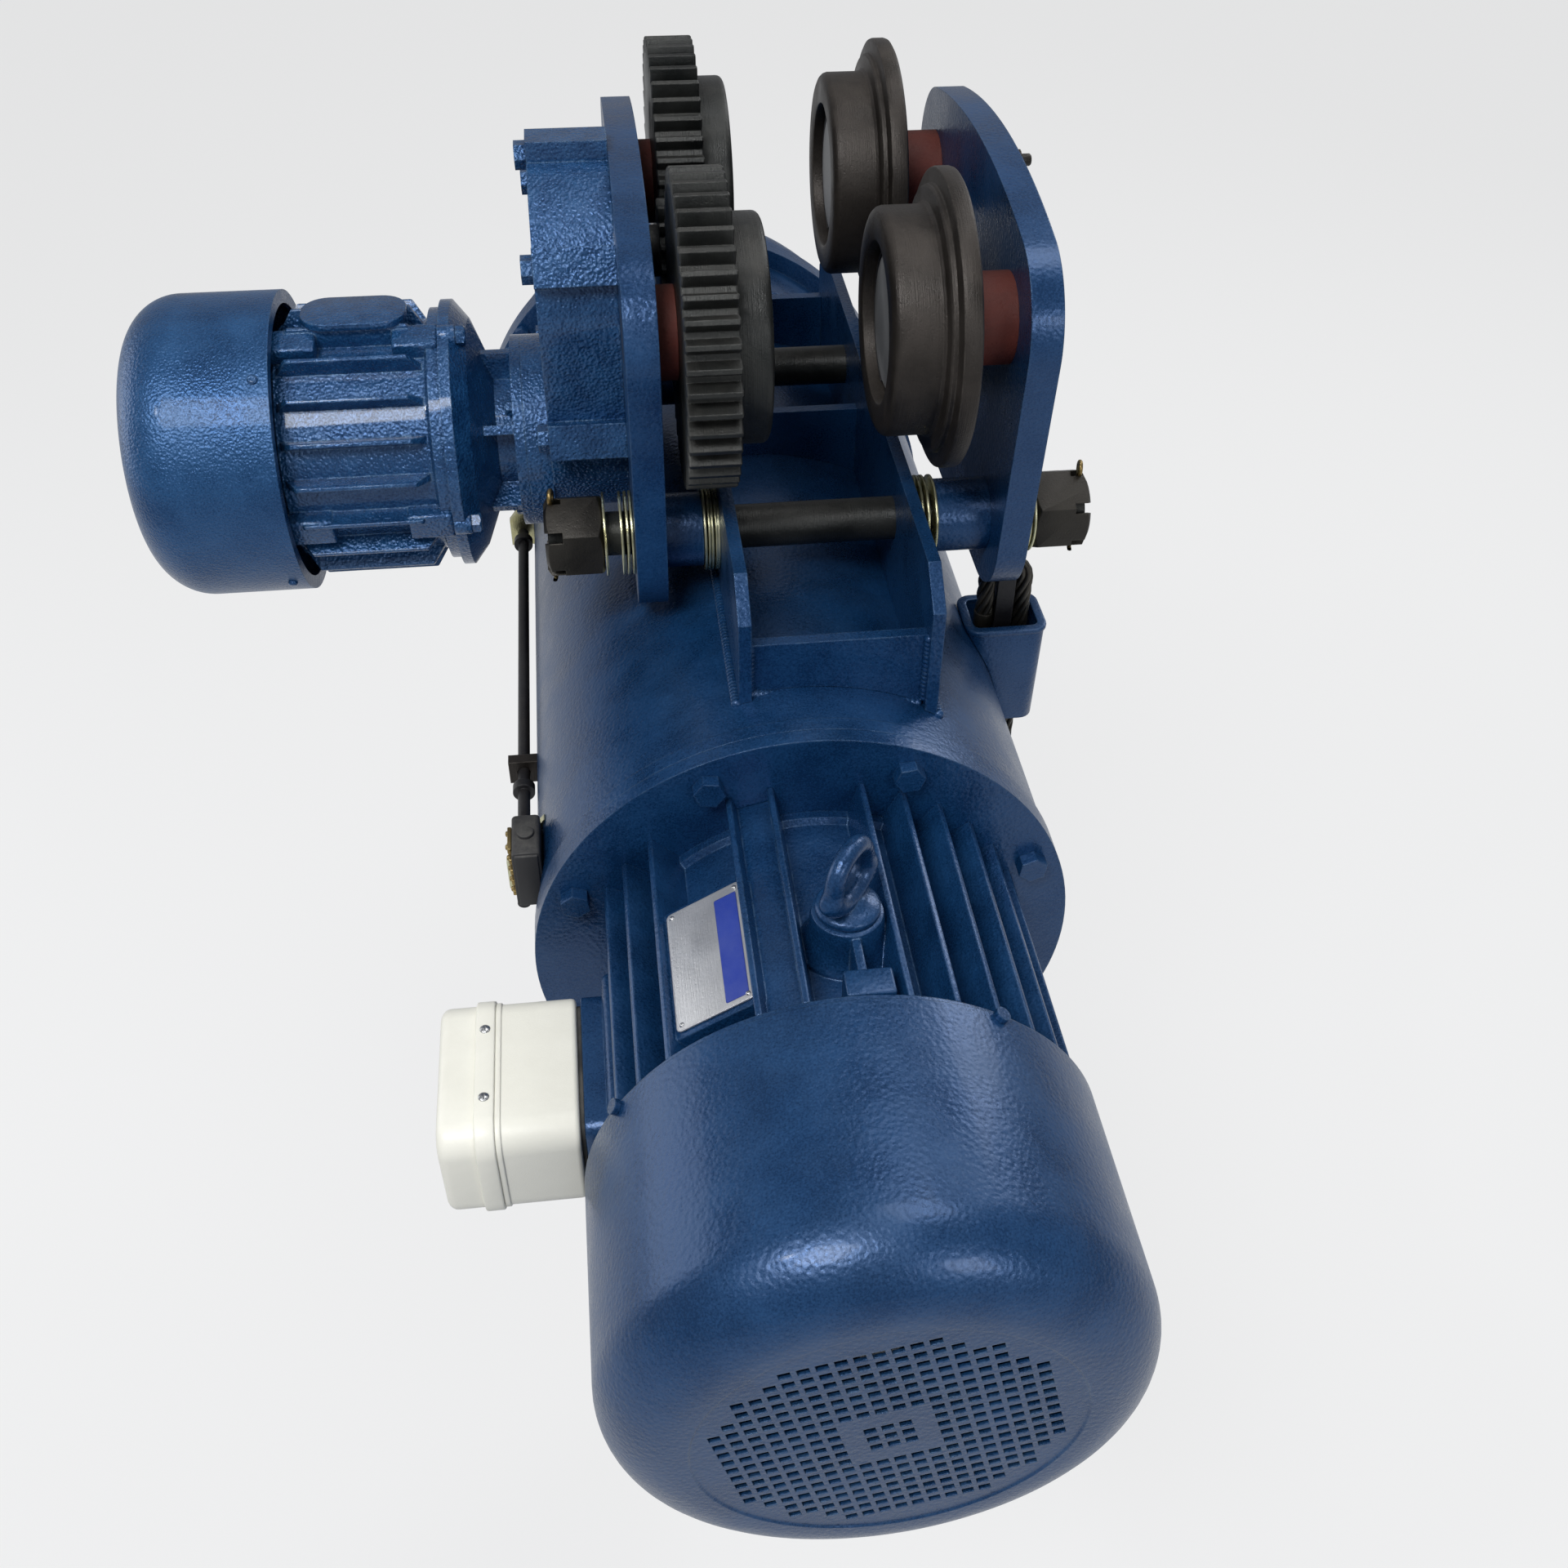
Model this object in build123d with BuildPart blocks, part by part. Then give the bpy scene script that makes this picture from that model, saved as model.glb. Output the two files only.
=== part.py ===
from build123d import *
from math import acos, atan2, cos, degrees, pi, radians, sin, sqrt, tan
import os

# Electric wire rope hoist that hangs by four wheels from the lower flange of an I-beam.
# Origin: on the beam's centre line, midway between the wheels, at the height where the treads roll.
# +X to the idle side of the trolley, +Y from the hoist motor to the gearbox, +Z up. Millimetres.

# Places of the main axes, and the clearances
drum_x = -28.0
drum_z = -320.0
flange_y = -328.0
fit_gap = 0.05
seat_gap = 0.15
free_gap = 0.3

# Casing of the drum, lengths from the motor's flange
casing_r = 195.0
casing_wall = 8.0
ring_r = 198.0
ring_t = 12.0
front_ring_in = 164.0
motor_flange_t = 12.0
casing_length = 618.0
rope_slot_out = -178.0
rope_slot_in = -137.0
rope_slot_top = -60.0
slot_start = 190.0
slot_end_gap = 40.0
tongue_slot_low = -12.0
tongue_slot_high = 22.0

# Hoist motor
frame_r = 131.0
fin_r = 162.0
fin_t = 4.5
fin_count = 42
frame_length = 190.0
frame_wall = 16.0
stator_bore_r = 72.0
stator_length = 130.0
rotor_gap = 0.6
motor_shaft_r = 21.0
motor_shaft_end = 36.0
bearing_r = 44.0
bearing_t = 20.0
rear_shield_t = 12.0
cover_r = 168.0
cover_length = 178.0
cover_round = 46.0
cover_wall = 2.5
cover_seat = 4.0
grille_r = 116.0
slot_w = 9.0
slot_h = 7.5
slot_pitch = 13.0
slot_turn = 13.5
fan_r = 128.0
fan_hub_r = 36.0
fan_blades = 8
flange_bolt_circle = 178.0
flange_bolt_count = 8
bolt_r = 6.0
bolt_flat = 19.0
eye_x = 8.0
eye_y = 121.0
boss_r = 23.0
boss_top = 163.0
eye_stem_r = 8.0
eye_stem_long = 24.0
eye_ring_r = 20.0
eye_wire_r = 6.5

# Nameplate and junction box
plate_turn = 121.0
plate_y = 121.0
plate_long = 98.0
plate_wide = 56.0
plate_thick = 2.0
pad_r = 152.0
pad_rim = 4.0
pedestal_x = 165.0
pedestal_y = 121.0
pedestal_long = 112.0
pedestal_high = 78.0
gasket_t = 3.0
box_depth = 54.0
lid_depth = 40.0
box_long = 122.0
box_high = 84.0
box_wall = 4.0
box_round = 18.0
band_wide = 13.0
band_lift = 3.0
cable_entry_r = 10.5

# Drum, rope and rope guide
drum_r = 150.0
drum_wall = 12.0
drum_flange_r = 158.0
drum_hub_r = 52.0
rope_r = 7.5
groove_pitch = 17.0
drum_start = 45.0
drum_end_gap = 30.0
rope_exit = 240.0
guide_start = 200.0
guide_length = 31.0
guide_in_r = 166.5
guide_out_r = 182.0
tongue_t = 10.0
tongue_high = 22.0
rod_x = -206.0
rod_z = 5.0
rod_r = 5.0
rod_start = 60.0
rod_end_gap = 30.0
collar_r = 9.0
collar_t = 8.0
front_collar = 185.0
rear_collar_gap = 80.0
front_bracket = 90.0
rear_bracket_gap = 59.0
bracket_sheet = 6.0
drive_shaft_r = 18.0
coupling_r = 34.0

# Gearbox behind the casing
gearbox_x = -27.0
gearbox_z = 20.0
gearbox_r = 200.0
gearbox_flange_t = 14.0
gearbox_body = 96.0
gearbox_dome = 128.0
gearbox_round = 74.0
gearbox_rim_t = 12.0
gearbox_rim_r = 214.0
gearbox_bolt_circle = 207.0
gearbox_bolt_count = 10
gearbox_bolt_flat = 13.0

# Bracket, suspension shafts and what sits on them
bracket_half = 61.0
bracket_t = 9.0
bracket_length = 275.6
bracket_top = -40.7
bracket_cut_y = 28.3
bracket_cut_z = 23.0
cross_top = -87.0
cross_t = 9.0
cross_middle = 52.0
shaft_y = 122.0
shaft_z = -85.0
shaft_r = 16.0
nut_flat = 55.0
nut_long = 42.0
nut_slot_w = 7.0
nut_slot_deep = 12.0
washer_r = 31.0
washer_pitch = 7.4
bush_r = 27.0
pin_r = 3.0

# Trolley
plate_left = -132.0
plate_left_t = 22.0
plate_right = 130.0
plate_right_t = 22.0
washers_left = 22.0
washers_right = 12.0
inner_washers_left = 12.0
inner_washers_right = 20.0
wheel_y = 130.5
tread_r = 75.0
tread_wide = 23.0
idle_tread_wide = 38.0
tread_in = 38.0
wheel_flange_r = 98.0
wheel_flange_t = 15.0
gear_wide = 35.0
gear_module = 4.5
wheel_teeth = 44
pinion_teeth = 14
backlash = 0.6
axle_r = 20.0
hub_r = 31.0
cap_r = 45.0
cap_t = 5.0
recess_r = 52.0
recess_deep = 10.0
plate_top_r = 62.0
plate_foot_r = 52.0
plate_crown = 152.0

# Travel drive
case_wide = 56.0
case_top_r = 89.0
case_top_z = 58.0
case_low_r = 77.0
case_low_z = -44.0
case_wall = 14.0
lug_r = 13.0
lug_bolt_r = 5.0
lug_bolt_flat = 17.0
travel_z = -65.0
travel_flange_r = 72.0
travel_flange_t = 18.0
neck_r = 46.0
bell_flange_t = 8.0
bell_length = 49.0
bell_r = 100.0
travel_frame_r = 86.0
travel_frame_wall = 12.0
travel_fin_r = 102.0
travel_fin_t = 4.0
travel_fin_count = 20
travel_frame_length = 120.0
tie_boss = 24.0
tie_boss_long = 34.0
tie_boss_turn = 76.0
lid_pad_long = 75.0
lid_pad_wide = 44.0
lid_pad_high = 28.0
travel_cover_r = 112.0
travel_cover_length = 109.0
travel_cover_round = 40.0
travel_shaft_r = 12.0
travel_core_r = 50.0
travel_fan_r = 70.0
pinion_shaft_r = 18.0
pinion_bearing_long = 30.0

# Rope falls, wedge socket and hook block
dead_x = 207.5
socket_low = 20.0
socket_top = 116.0
socket_wall = 6.5
leg_gap = 30.0
block_z = -810.0
sheave_half = 17.0
sheave_rim = 12.5
sheave_web = 8.0
sheave_hub_r = 44.0
sheave_axle_r = 25.0
cheek_gap = 24.0
cheek_t = 8.0
cheek_r = 196.0
cheek_foot_r = 26.0
cheek_foot_x = 46.0
crosshead_drop = 256.0
crosshead_high = 46.0
crosshead_long = 96.0
trunnion_r = 19.0
shank_r = 24.0
shank_thread_r = 20.0
hook_drop = 384.0
hook_thick = 44.0
hook_draft = 12.0
hook_nut_r = 38.0
hook_nut_t = 28.0
latch_x = -40.0
latch_z = 88.0
latch_lug_r = 10.0
latch_lug_half = 8.0
latch_pin_r = 4.0
latch_long = 63.0
latch_half = 12.0
latch_turn = -104.7
latch_t = 4.0

os.makedirs("parts", exist_ok=True)

# Sizes that follow from those above
rope_turn_r = drum_r + rope_r + seat_gap
rope_x = drum_x - rope_turn_r
dead_fall_x = drum_x + dead_x
rope_pitch_r = (dead_fall_x - rope_x) / 2
block_x = (dead_fall_x + rope_x) / 2
wheel_z = tread_r
casing_end = motor_flange_t + casing_length
drum_end = casing_end - drum_end_gap
slot_end = casing_end - slot_end_gap
rod_end = casing_end - rod_end_gap
rear_collar = casing_end - rear_collar_gap
rear_bracket = casing_end - rear_bracket_gap
wraps_start = rope_exit + rope_r + 1
turn_count = int((drum_end - drum_wall - wraps_start) / groove_pitch)
frame_end = -frame_length
shield_end = frame_end - rear_shield_t
cover_end = shield_end - cover_length
plate_out_left = plate_left + plate_left_t
plate_out_right = plate_right + plate_right_t
case_left = plate_left - case_wide
bracket_out = bracket_half + bracket_t
shaft_spots = ((-shaft_y, shaft_z), (shaft_y, shaft_z))
wheel_spots = ((-wheel_y, wheel_z), (wheel_y, wheel_z))

drum_axis = Axis((drum_x, 0, drum_z), (0, 1, 0))
drum_plane = Plane(origin=(drum_x, flange_y, drum_z), x_dir=(1, 0, 0), z_dir=(0, 0, 1))
cup_plane = Plane(origin=(drum_x, flange_y, drum_z), x_dir=(0, 1, 0), z_dir=(1, 0, 0))


def save(piece, name):
    # one file for each piece, named as the piece
    piece.part.label = name
    export_step(piece.part, f"parts/{name}.step")


def facing(y, x=drum_x, z=drum_z):
    # a plane that looks towards -Y, first direction +X, second +Z, y counted from the motor's flange
    return Plane(origin=(x, flange_y + y, z), x_dir=(1, 0, 0), z_dir=(0, -1, 0))


def across(x, y=0.0, z=0.0):
    # a plane that looks towards +X, first direction +Y, second +Z
    return Plane(origin=(x, y, z), x_dir=(0, 1, 0), z_dir=(1, 0, 0))


def level(x, y, z):
    # a plane that looks up, y counted from the motor's flange
    return Plane(origin=(x, flange_y + y, z), x_dir=(1, 0, 0), z_dir=(0, 0, 1))


def outline(points, plane=drum_plane):
    # a closed outline; on the drum's plane each point is radius and length
    with BuildSketch(plane) as shape:
        with BuildLine():
            Polyline(*points, close=True)
        make_face()
    return shape.sketch


def sleeve(inner, outer, start, end, plane=drum_plane):
    # half section of a plain sleeve
    return outline([(inner, start), (outer, start), (outer, end), (inner, end)], plane)


def disc(plane, outer, inner=0.0):
    # a disc, or a flat ring
    with BuildSketch(plane) as shape:
        Circle(outer)
        if inner:
            Circle(inner, mode=Mode.SUBTRACT)
    return shape.sketch


def hexagon(plane, flat, bore=0.0):
    # a hexagon by its width over flats
    with BuildSketch(plane) as shape:
        RegularPolygon(flat / 2, 6, major_radius=False)
        if bore:
            Circle(bore, mode=Mode.SUBTRACT)
    return shape.sketch


# Casing of the drum: tube with end rings, a slot for the rope and one for the guide's tongue
tube_start = motor_flange_t + ring_t
slot_middle = flange_y + (slot_start + slot_end) / 2
with BuildPart() as casing:
    bore = casing_r - casing_wall
    revolve(outline([
        (front_ring_in, motor_flange_t), (ring_r, motor_flange_t), (ring_r, tube_start), (casing_r, tube_start),
        (casing_r, casing_end - ring_t), (ring_r, casing_end - ring_t), (ring_r, casing_end), (bore, casing_end),
        (bore, tube_start), (front_ring_in, tube_start),
    ]), axis=drum_axis)
    with BuildSketch(Plane(origin=(drum_x, slot_middle, drum_z - ring_r))):
        with Locations(((rope_slot_out + rope_slot_in) / 2, 0)):
            Rectangle(rope_slot_in - rope_slot_out, slot_end - slot_start)
    extrude(amount=ring_r + rope_slot_top, mode=Mode.SUBTRACT)
    with BuildSketch(across(drum_x - ring_r, slot_middle, drum_z)):
        with Locations((0, (tongue_slot_low + tongue_slot_high) / 2)):
            Rectangle(slot_end - slot_start, tongue_slot_high - tongue_slot_low)
    extrude(amount=2 * casing_wall, mode=Mode.SUBTRACT)
    with BuildSketch(facing(tube_start)):
        with PolarLocations(flange_bolt_circle, flange_bolt_count, start_angle=22.5):
            Circle(bolt_r + seat_gap)
    extrude(amount=ring_t, mode=Mode.SUBTRACT)
save(casing, "casing")

# Bracket on the casing's crown: two side plates and three cross plates
with BuildPart() as hanger_plates:
    for start in (-bracket_out, bracket_half):
        with BuildSketch(across(start)):
            with BuildLine():
                Polyline(
                    (-bracket_length, drum_z), (-bracket_length, bracket_top - bracket_cut_z),
                    (-bracket_length + bracket_cut_y, bracket_top), (bracket_length - bracket_cut_y, bracket_top),
                    (bracket_length, bracket_top - bracket_cut_z), (bracket_length, drum_z), close=True)
            make_face()
            with Locations(*shaft_spots):
                Circle(shaft_r + seat_gap, mode=Mode.SUBTRACT)
        extrude(amount=bracket_t)
    extrude(disc(facing(casing_end), casing_r + seat_gap), amount=casing_length, mode=Mode.SUBTRACT)
save(hanger_plates, "hanger_plates")

cross_spots = (2 * cross_t - bracket_length, cross_middle + cross_t / 2, bracket_length - cross_t)
with BuildPart() as hanger_cross_plates:
    for y in cross_spots:
        with BuildSketch(facing(y - flange_y, 0, (cross_top + drum_z) / 2)):
            Rectangle(2 * bracket_half, cross_top - drum_z)
        extrude(amount=cross_t)
    extrude(disc(facing(casing_end), casing_r + seat_gap), amount=casing_length, mode=Mode.SUBTRACT)
save(hanger_cross_plates, "hanger_cross_plates")

# Suspension shafts with bushes, washers, castle nuts and split pins
nut_left = plate_left - washers_left
nut_right = plate_out_right + washers_right
shaft_left = nut_left - nut_long + 2
shaft_right = nut_right + nut_long - 2
pin_places = (nut_left - nut_long + nut_slot_deep / 2, nut_right + nut_long - nut_slot_deep / 2)
with BuildPart() as suspension_shafts:
    for y, z in shaft_spots:
        extrude(disc(across(shaft_left, y, z), shaft_r), amount=shaft_right - shaft_left)
        for x in pin_places:
            hole = disc(Plane(origin=(x, y, z - shaft_r)), pin_r + seat_gap)
            extrude(hole, amount=2 * shaft_r, mode=Mode.SUBTRACT)
save(suspension_shafts, "suspension_shafts")

with BuildPart() as castle_nuts:
    for y, z in shaft_spots:
        for start, crown in ((nut_left - nut_long, 0.0), (nut_right, nut_long - nut_slot_deep)):
            extrude(hexagon(across(start, y, z), nut_flat, shaft_r + seat_gap), amount=nut_long)
            for turn in (30, 90, 150):
                with BuildSketch(across(start + crown, y, z)):
                    Rectangle(1.3 * nut_flat, nut_slot_w, rotation=turn)
                extrude(amount=nut_slot_deep, mode=Mode.SUBTRACT)
save(castle_nuts, "castle_nuts")

pin_long = nut_flat + 10
with BuildPart() as split_pins:
    for y, z in shaft_spots:
        for x in pin_places:
            extrude(disc(Plane(origin=(x, y, z - pin_long / 2)), pin_r), amount=pin_long)
            extrude(disc(Plane(origin=(x, y, z + pin_long / 2)), 2 * pin_r), amount=pin_r)
save(split_pins, "split_pins")

bush_left = -bracket_out - inner_washers_left
bush_right = bracket_out + inner_washers_right
stacks = (
    (nut_left, washers_left), (bush_left, inner_washers_left),
    (bracket_out, inner_washers_right), (plate_out_right, washers_right),
)
with BuildPart() as spacer_washers:
    for y, z in shaft_spots:
        for start, space in stacks:
            count = round(space / washer_pitch)
            for place in range(count):
                x = start + space * place / count + seat_gap / 2
                extrude(disc(across(x, y, z), washer_r, shaft_r + seat_gap), amount=space / count - seat_gap)
save(spacer_washers, "spacer_washers")

with BuildPart() as spacer_bushes:
    for y, z in shaft_spots:
        for start, end in ((plate_out_left, bush_left), (bush_right, plate_right)):
            extrude(disc(across(start, y, z), bush_r, shaft_r + seat_gap), amount=end - start)
save(spacer_bushes, "spacer_bushes")


# Trolley side plates: two round shoulders, two round feet and a crowned top
def around(spot, radius, turn):
    return (spot[0] + radius * cos(radians(turn)), spot[1] + radius * sin(radians(turn)))


def plate_face(plane):
    foot, shoulder = shaft_spots[1], wheel_spots[1]
    lean = -6.6
    with BuildSketch(plane) as shape:
        with BuildLine():
            low = around(foot, plate_foot_r, -90)
            high = around(shoulder, plate_top_r, 78)
            Line((0, low[1]), low)
            ThreePointArc(low, around(foot, plate_foot_r, -48), around(foot, plate_foot_r, lean))
            Line(around(foot, plate_foot_r, lean), around(shoulder, plate_top_r, lean))
            ThreePointArc(around(shoulder, plate_top_r, lean), around(shoulder, plate_top_r, 36), high)
            ThreePointArc(high, (high[0] * 0.5, plate_crown - (plate_crown - high[1]) * 0.25), (0, plate_crown))
            mirror(about=Plane.YZ)
        make_face()
        with Locations(*shaft_spots):
            Circle(shaft_r + seat_gap, mode=Mode.SUBTRACT)
        with Locations(*wheel_spots):
            Circle(axle_r + seat_gap, mode=Mode.SUBTRACT)
    return shape.sketch


pinion_hole_r = pinion_shaft_r + 8
with BuildPart() as drive_side_plate:
    extrude(plate_face(across(plate_left)), amount=plate_left_t)
    extrude(disc(across(plate_left, 0, wheel_z), pinion_hole_r), amount=plate_left_t, mode=Mode.SUBTRACT)
save(drive_side_plate, "drive_side_plate")

with BuildPart() as idler_side_plate:
    extrude(plate_face(across(plate_right)), amount=plate_right_t)
save(idler_side_plate, "idler_side_plate")

# Stub axles in the plates, with a hub between plate and wheel
gear_out = tread_in + tread_wide + gear_wide
idler_out = tread_in + idle_tread_wide + wheel_flange_t
cap_face = tread_in + recess_deep
axle_end = cap_face + cap_t + 1
with BuildPart() as wheel_axles:
    for y, z in wheel_spots:
        extrude(disc(across(plate_left, y, z), axle_r), amount=-axle_end - plate_left)
        extrude(disc(across(axle_end, y, z), axle_r), amount=plate_out_right - axle_end)
save(wheel_axles, "wheel_axles")

with BuildPart() as axle_hubs:
    for y, z in wheel_spots:
        left_hub = disc(across(plate_out_left, y, z), hub_r, axle_r + seat_gap)
        extrude(left_hub, amount=-gear_out - free_gap - plate_out_left)
        right_hub = disc(across(idler_out + free_gap, y, z), hub_r, axle_r + seat_gap)
        extrude(right_hub, amount=plate_right - idler_out - free_gap)
save(axle_hubs, "axle_hubs")


# Spur gears: four points on each involute flank, and one at the root where it lies below the base circle
def gear_face(plane, teeth, turn):
    pitch_r = gear_module * teeth / 2
    base_r = pitch_r * cos(radians(20))
    tip_r = pitch_r + gear_module
    root_r = pitch_r - 1.25 * gear_module
    half = (pi * gear_module - backlash) / 4 / pitch_r + tan(radians(20)) - radians(20)
    start_r = max(base_r, root_r)
    flank = [(root_r, half)] if root_r < base_r else []
    for step in range(4):
        r = start_r + (tip_r - start_r) * step / 3
        pressure = acos(min(1.0, base_r / r))
        flank.append((r, half - (tan(pressure) - pressure)))
    points = []
    for tooth in range(teeth):
        middle = turn + 2 * pi * tooth / teeth
        points += [(r * cos(middle - a), r * sin(middle - a)) for r, a in flank]
        points += [(r * cos(middle + a), r * sin(middle + a)) for r, a in reversed(flank)]
    return outline(points, plane)


# Geared wheels: a gap between teeth faces the pinion, whose tooth stands in it
for y, name in ((-wheel_y, "geared_wheel_front"), (wheel_y, "geared_wheel_rear")):
    with BuildPart() as geared_wheel:
        extrude(gear_face(across(-gear_out, y, wheel_z), wheel_teeth, pi / wheel_teeth), amount=gear_wide)
        extrude(disc(across(gear_wide - gear_out, y, wheel_z), tread_r), amount=tread_wide)
        extrude(disc(across(-gear_out, y, wheel_z), axle_r + fit_gap), amount=gear_out, mode=Mode.SUBTRACT)
        extrude(disc(across(-cap_face - cap_t, y, wheel_z), recess_r), amount=cap_face, mode=Mode.SUBTRACT)
        extrude(disc(across(-cap_face - cap_t, y, wheel_z), cap_r), amount=cap_t)
    save(geared_wheel, name)

for y, name in ((-wheel_y, "idler_wheel_front"), (wheel_y, "idler_wheel_rear")):
    with BuildPart() as idler_wheel:
        extrude(disc(across(tread_in, y, wheel_z), tread_r), amount=idle_tread_wide)
        extrude(disc(across(tread_in + idle_tread_wide, y, wheel_z), wheel_flange_r), amount=wheel_flange_t)
        extrude(disc(across(tread_in, y, wheel_z), axle_r + fit_gap), amount=idler_out, mode=Mode.SUBTRACT)
        extrude(disc(across(tread_in, y, wheel_z), recess_r), amount=recess_deep + cap_t, mode=Mode.SUBTRACT)
        extrude(disc(across(cap_face, y, wheel_z), cap_r), amount=cap_t)
    save(idler_wheel, name)

# Output pinion, its shaft runs in the gear case
pinion_left = case_left + case_wall
pinion_face = -gear_out - 3
with BuildPart() as travel_pinion:
    extrude(gear_face(across(pinion_face, 0, wheel_z), pinion_teeth, 0.0), amount=gear_wide + 6)
    extrude(disc(across(pinion_left, 0, wheel_z), pinion_shaft_r), amount=pinion_face - pinion_left)
save(travel_pinion, "travel_pinion")

# Gear case of the travel drive: a pear-shaped casting with bolt lugs along its rim
lug_spots = ((0, 147), (-78, 99), (78, 99), (-80, -28), (80, -28))
neck_x = case_left - travel_flange_t
with BuildPart() as travel_gear_case:
    with BuildSketch(across(case_left)):
        with Locations((0, case_top_z)):
            Circle(case_top_r)
        with Locations((0, case_low_z)):
            Circle(case_low_r)
        make_hull()
    extrude(amount=case_wide)
    for y, z in lug_spots:
        with BuildSketch(across(case_left, y, z)):
            Rectangle(2 * lug_r, 2 * lug_r, rotation=degrees(atan2(z - (case_top_z if z > 0 else case_low_z), y)))
        extrude(amount=case_wide)
    extrude(disc(across(neck_x, 0, travel_z), travel_flange_r), amount=travel_flange_t)
    pinion_seat = disc(across(pinion_left, 0, wheel_z), pinion_shaft_r + fit_gap)
    extrude(pinion_seat, amount=pinion_bearing_long, mode=Mode.SUBTRACT)
    pinion_room = disc(across(pinion_left + pinion_bearing_long, 0, wheel_z), pinion_hole_r)
    extrude(pinion_room, amount=case_wide, mode=Mode.SUBTRACT)
    extrude(disc(across(neck_x, 0, travel_z), 2 * travel_shaft_r), amount=2 * travel_flange_t, mode=Mode.SUBTRACT)
    for y, z in lug_spots:
        extrude(disc(across(case_left, y, z), lug_bolt_r + seat_gap), amount=case_wide, mode=Mode.SUBTRACT)
save(travel_gear_case, "travel_gear_case")

with BuildPart() as travel_drive_bolts:
    for y, z in lug_spots:
        extrude(disc(across(case_left, y, z), lug_bolt_r), amount=case_wide)
        extrude(hexagon(across(case_left - 8, y, z), lug_bolt_flat), amount=8)
save(travel_drive_bolts, "travel_drive_bolts")

# Travel motor: bell-shaped end, finned frame and closed fan cover
travel_axis = Axis((0, 0, travel_z), (1, 0, 0))
travel_plane = Plane(origin=(0, 0, travel_z), x_dir=(1, 0, 0), z_dir=(0, -1, 0))
bell_start = neck_x - bell_flange_t
bell_end = bell_start - bell_length
travel_frame_end = bell_end - travel_frame_length
travel_cover_end = travel_frame_end - travel_cover_length
with BuildPart() as travel_motor_bell:
    shaft_bore = travel_shaft_r + fit_gap
    revolve(outline([
        (neck_x, shaft_bore), (neck_x, travel_flange_r), (bell_start, travel_flange_r), (bell_start, neck_r),
        (bell_start - 14, neck_r), (bell_start - 30, bell_r - 14), (bell_end + 8, bell_r), (bell_end, bell_r),
        (bell_end, 60), (bell_start - 24, shaft_bore),
    ], travel_plane), axis=travel_axis)
    with BuildSketch(across(bell_start - 22, 0, travel_z)):
        with PolarLocations(neck_r + 8, 6, start_angle=30):
            Rectangle(26, 7)
    extrude(amount=22)
save(travel_motor_bell, "travel_motor_bell")

with BuildPart() as travel_motor_frame:
    travel_bore = travel_frame_r - travel_frame_wall
    with BuildSketch(across(travel_frame_end, 0, travel_z)):
        Circle(travel_frame_r)
        with PolarLocations((travel_frame_r + travel_fin_r) / 2 - 1, travel_fin_count):
            Rectangle(travel_fin_r - travel_frame_r + 2, travel_fin_t)
        Circle(travel_bore, mode=Mode.SUBTRACT)
    extrude(amount=travel_frame_length)
    for start in (bell_end - tie_boss_long, travel_frame_end + cover_seat + seat_gap):
        with BuildSketch(across(start, 0, travel_z)):
            with PolarLocations(travel_frame_r + tie_boss / 4, 4, start_angle=tie_boss_turn):
                Rectangle(tie_boss, tie_boss)
        extrude(amount=tie_boss_long)
    with BuildSketch(across((travel_frame_end + bell_end - lid_pad_long) / 2, 0, travel_z)):
        with Locations((0, travel_frame_r + lid_pad_high / 3)):
            Rectangle(lid_pad_wide, lid_pad_high)
    extrude(amount=lid_pad_long)
save(travel_motor_frame, "travel_motor_frame")


def cup(radius, round_r, wall, rim, end, plane):
    # half section of a fan cover from its rim to its closed end, which lies on the negative side
    outer_cut = round_r * (1 - cos(radians(45)))
    inner_cut = wall + (round_r - wall) * (1 - cos(radians(45)))
    with BuildSketch(plane) as shape:
        with BuildLine():
            Line((rim, radius), (end + round_r, radius))
            ThreePointArc((end + round_r, radius), (end + outer_cut, radius - outer_cut), (end, radius - round_r))
            Polyline((end, radius - round_r), (end, 0), (end + wall, 0), (end + wall, radius - round_r))
            ThreePointArc((end + wall, radius - round_r), (end + inner_cut, radius - inner_cut),
                          (end + round_r, radius - wall))
            Polyline((end + round_r, radius - wall), (rim, radius - wall), (rim, radius))
        make_face()
    return shape.sketch


with BuildPart() as travel_fan_cover:
    travel_rim = travel_frame_end + cover_seat
    face = cup(travel_cover_r, travel_cover_round, cover_wall, travel_rim, travel_cover_end, travel_plane)
    revolve(face, axis=travel_axis)
    rim_face = disc(across(travel_frame_end, 0, travel_z), travel_cover_r - 1, travel_fin_r + seat_gap)
    extrude(rim_face, amount=cover_seat)
save(travel_fan_cover, "travel_fan_cover")

with BuildPart() as travel_rotor:
    travel_fan_x = travel_cover_end + 24
    revolve(outline([
        (travel_fan_x, 0), (travel_fan_x, travel_fan_r), (travel_fan_x + 6, travel_fan_r),
        (travel_fan_x + 6, travel_shaft_r), (travel_frame_end + 20, travel_shaft_r),
        (travel_frame_end + 20, travel_core_r), (bell_end - 14, travel_core_r), (bell_end - 14, travel_shaft_r),
        (case_left + 8, travel_shaft_r), (case_left + 8, 0),
    ], travel_plane), axis=travel_axis)
save(travel_rotor, "travel_rotor")

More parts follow.
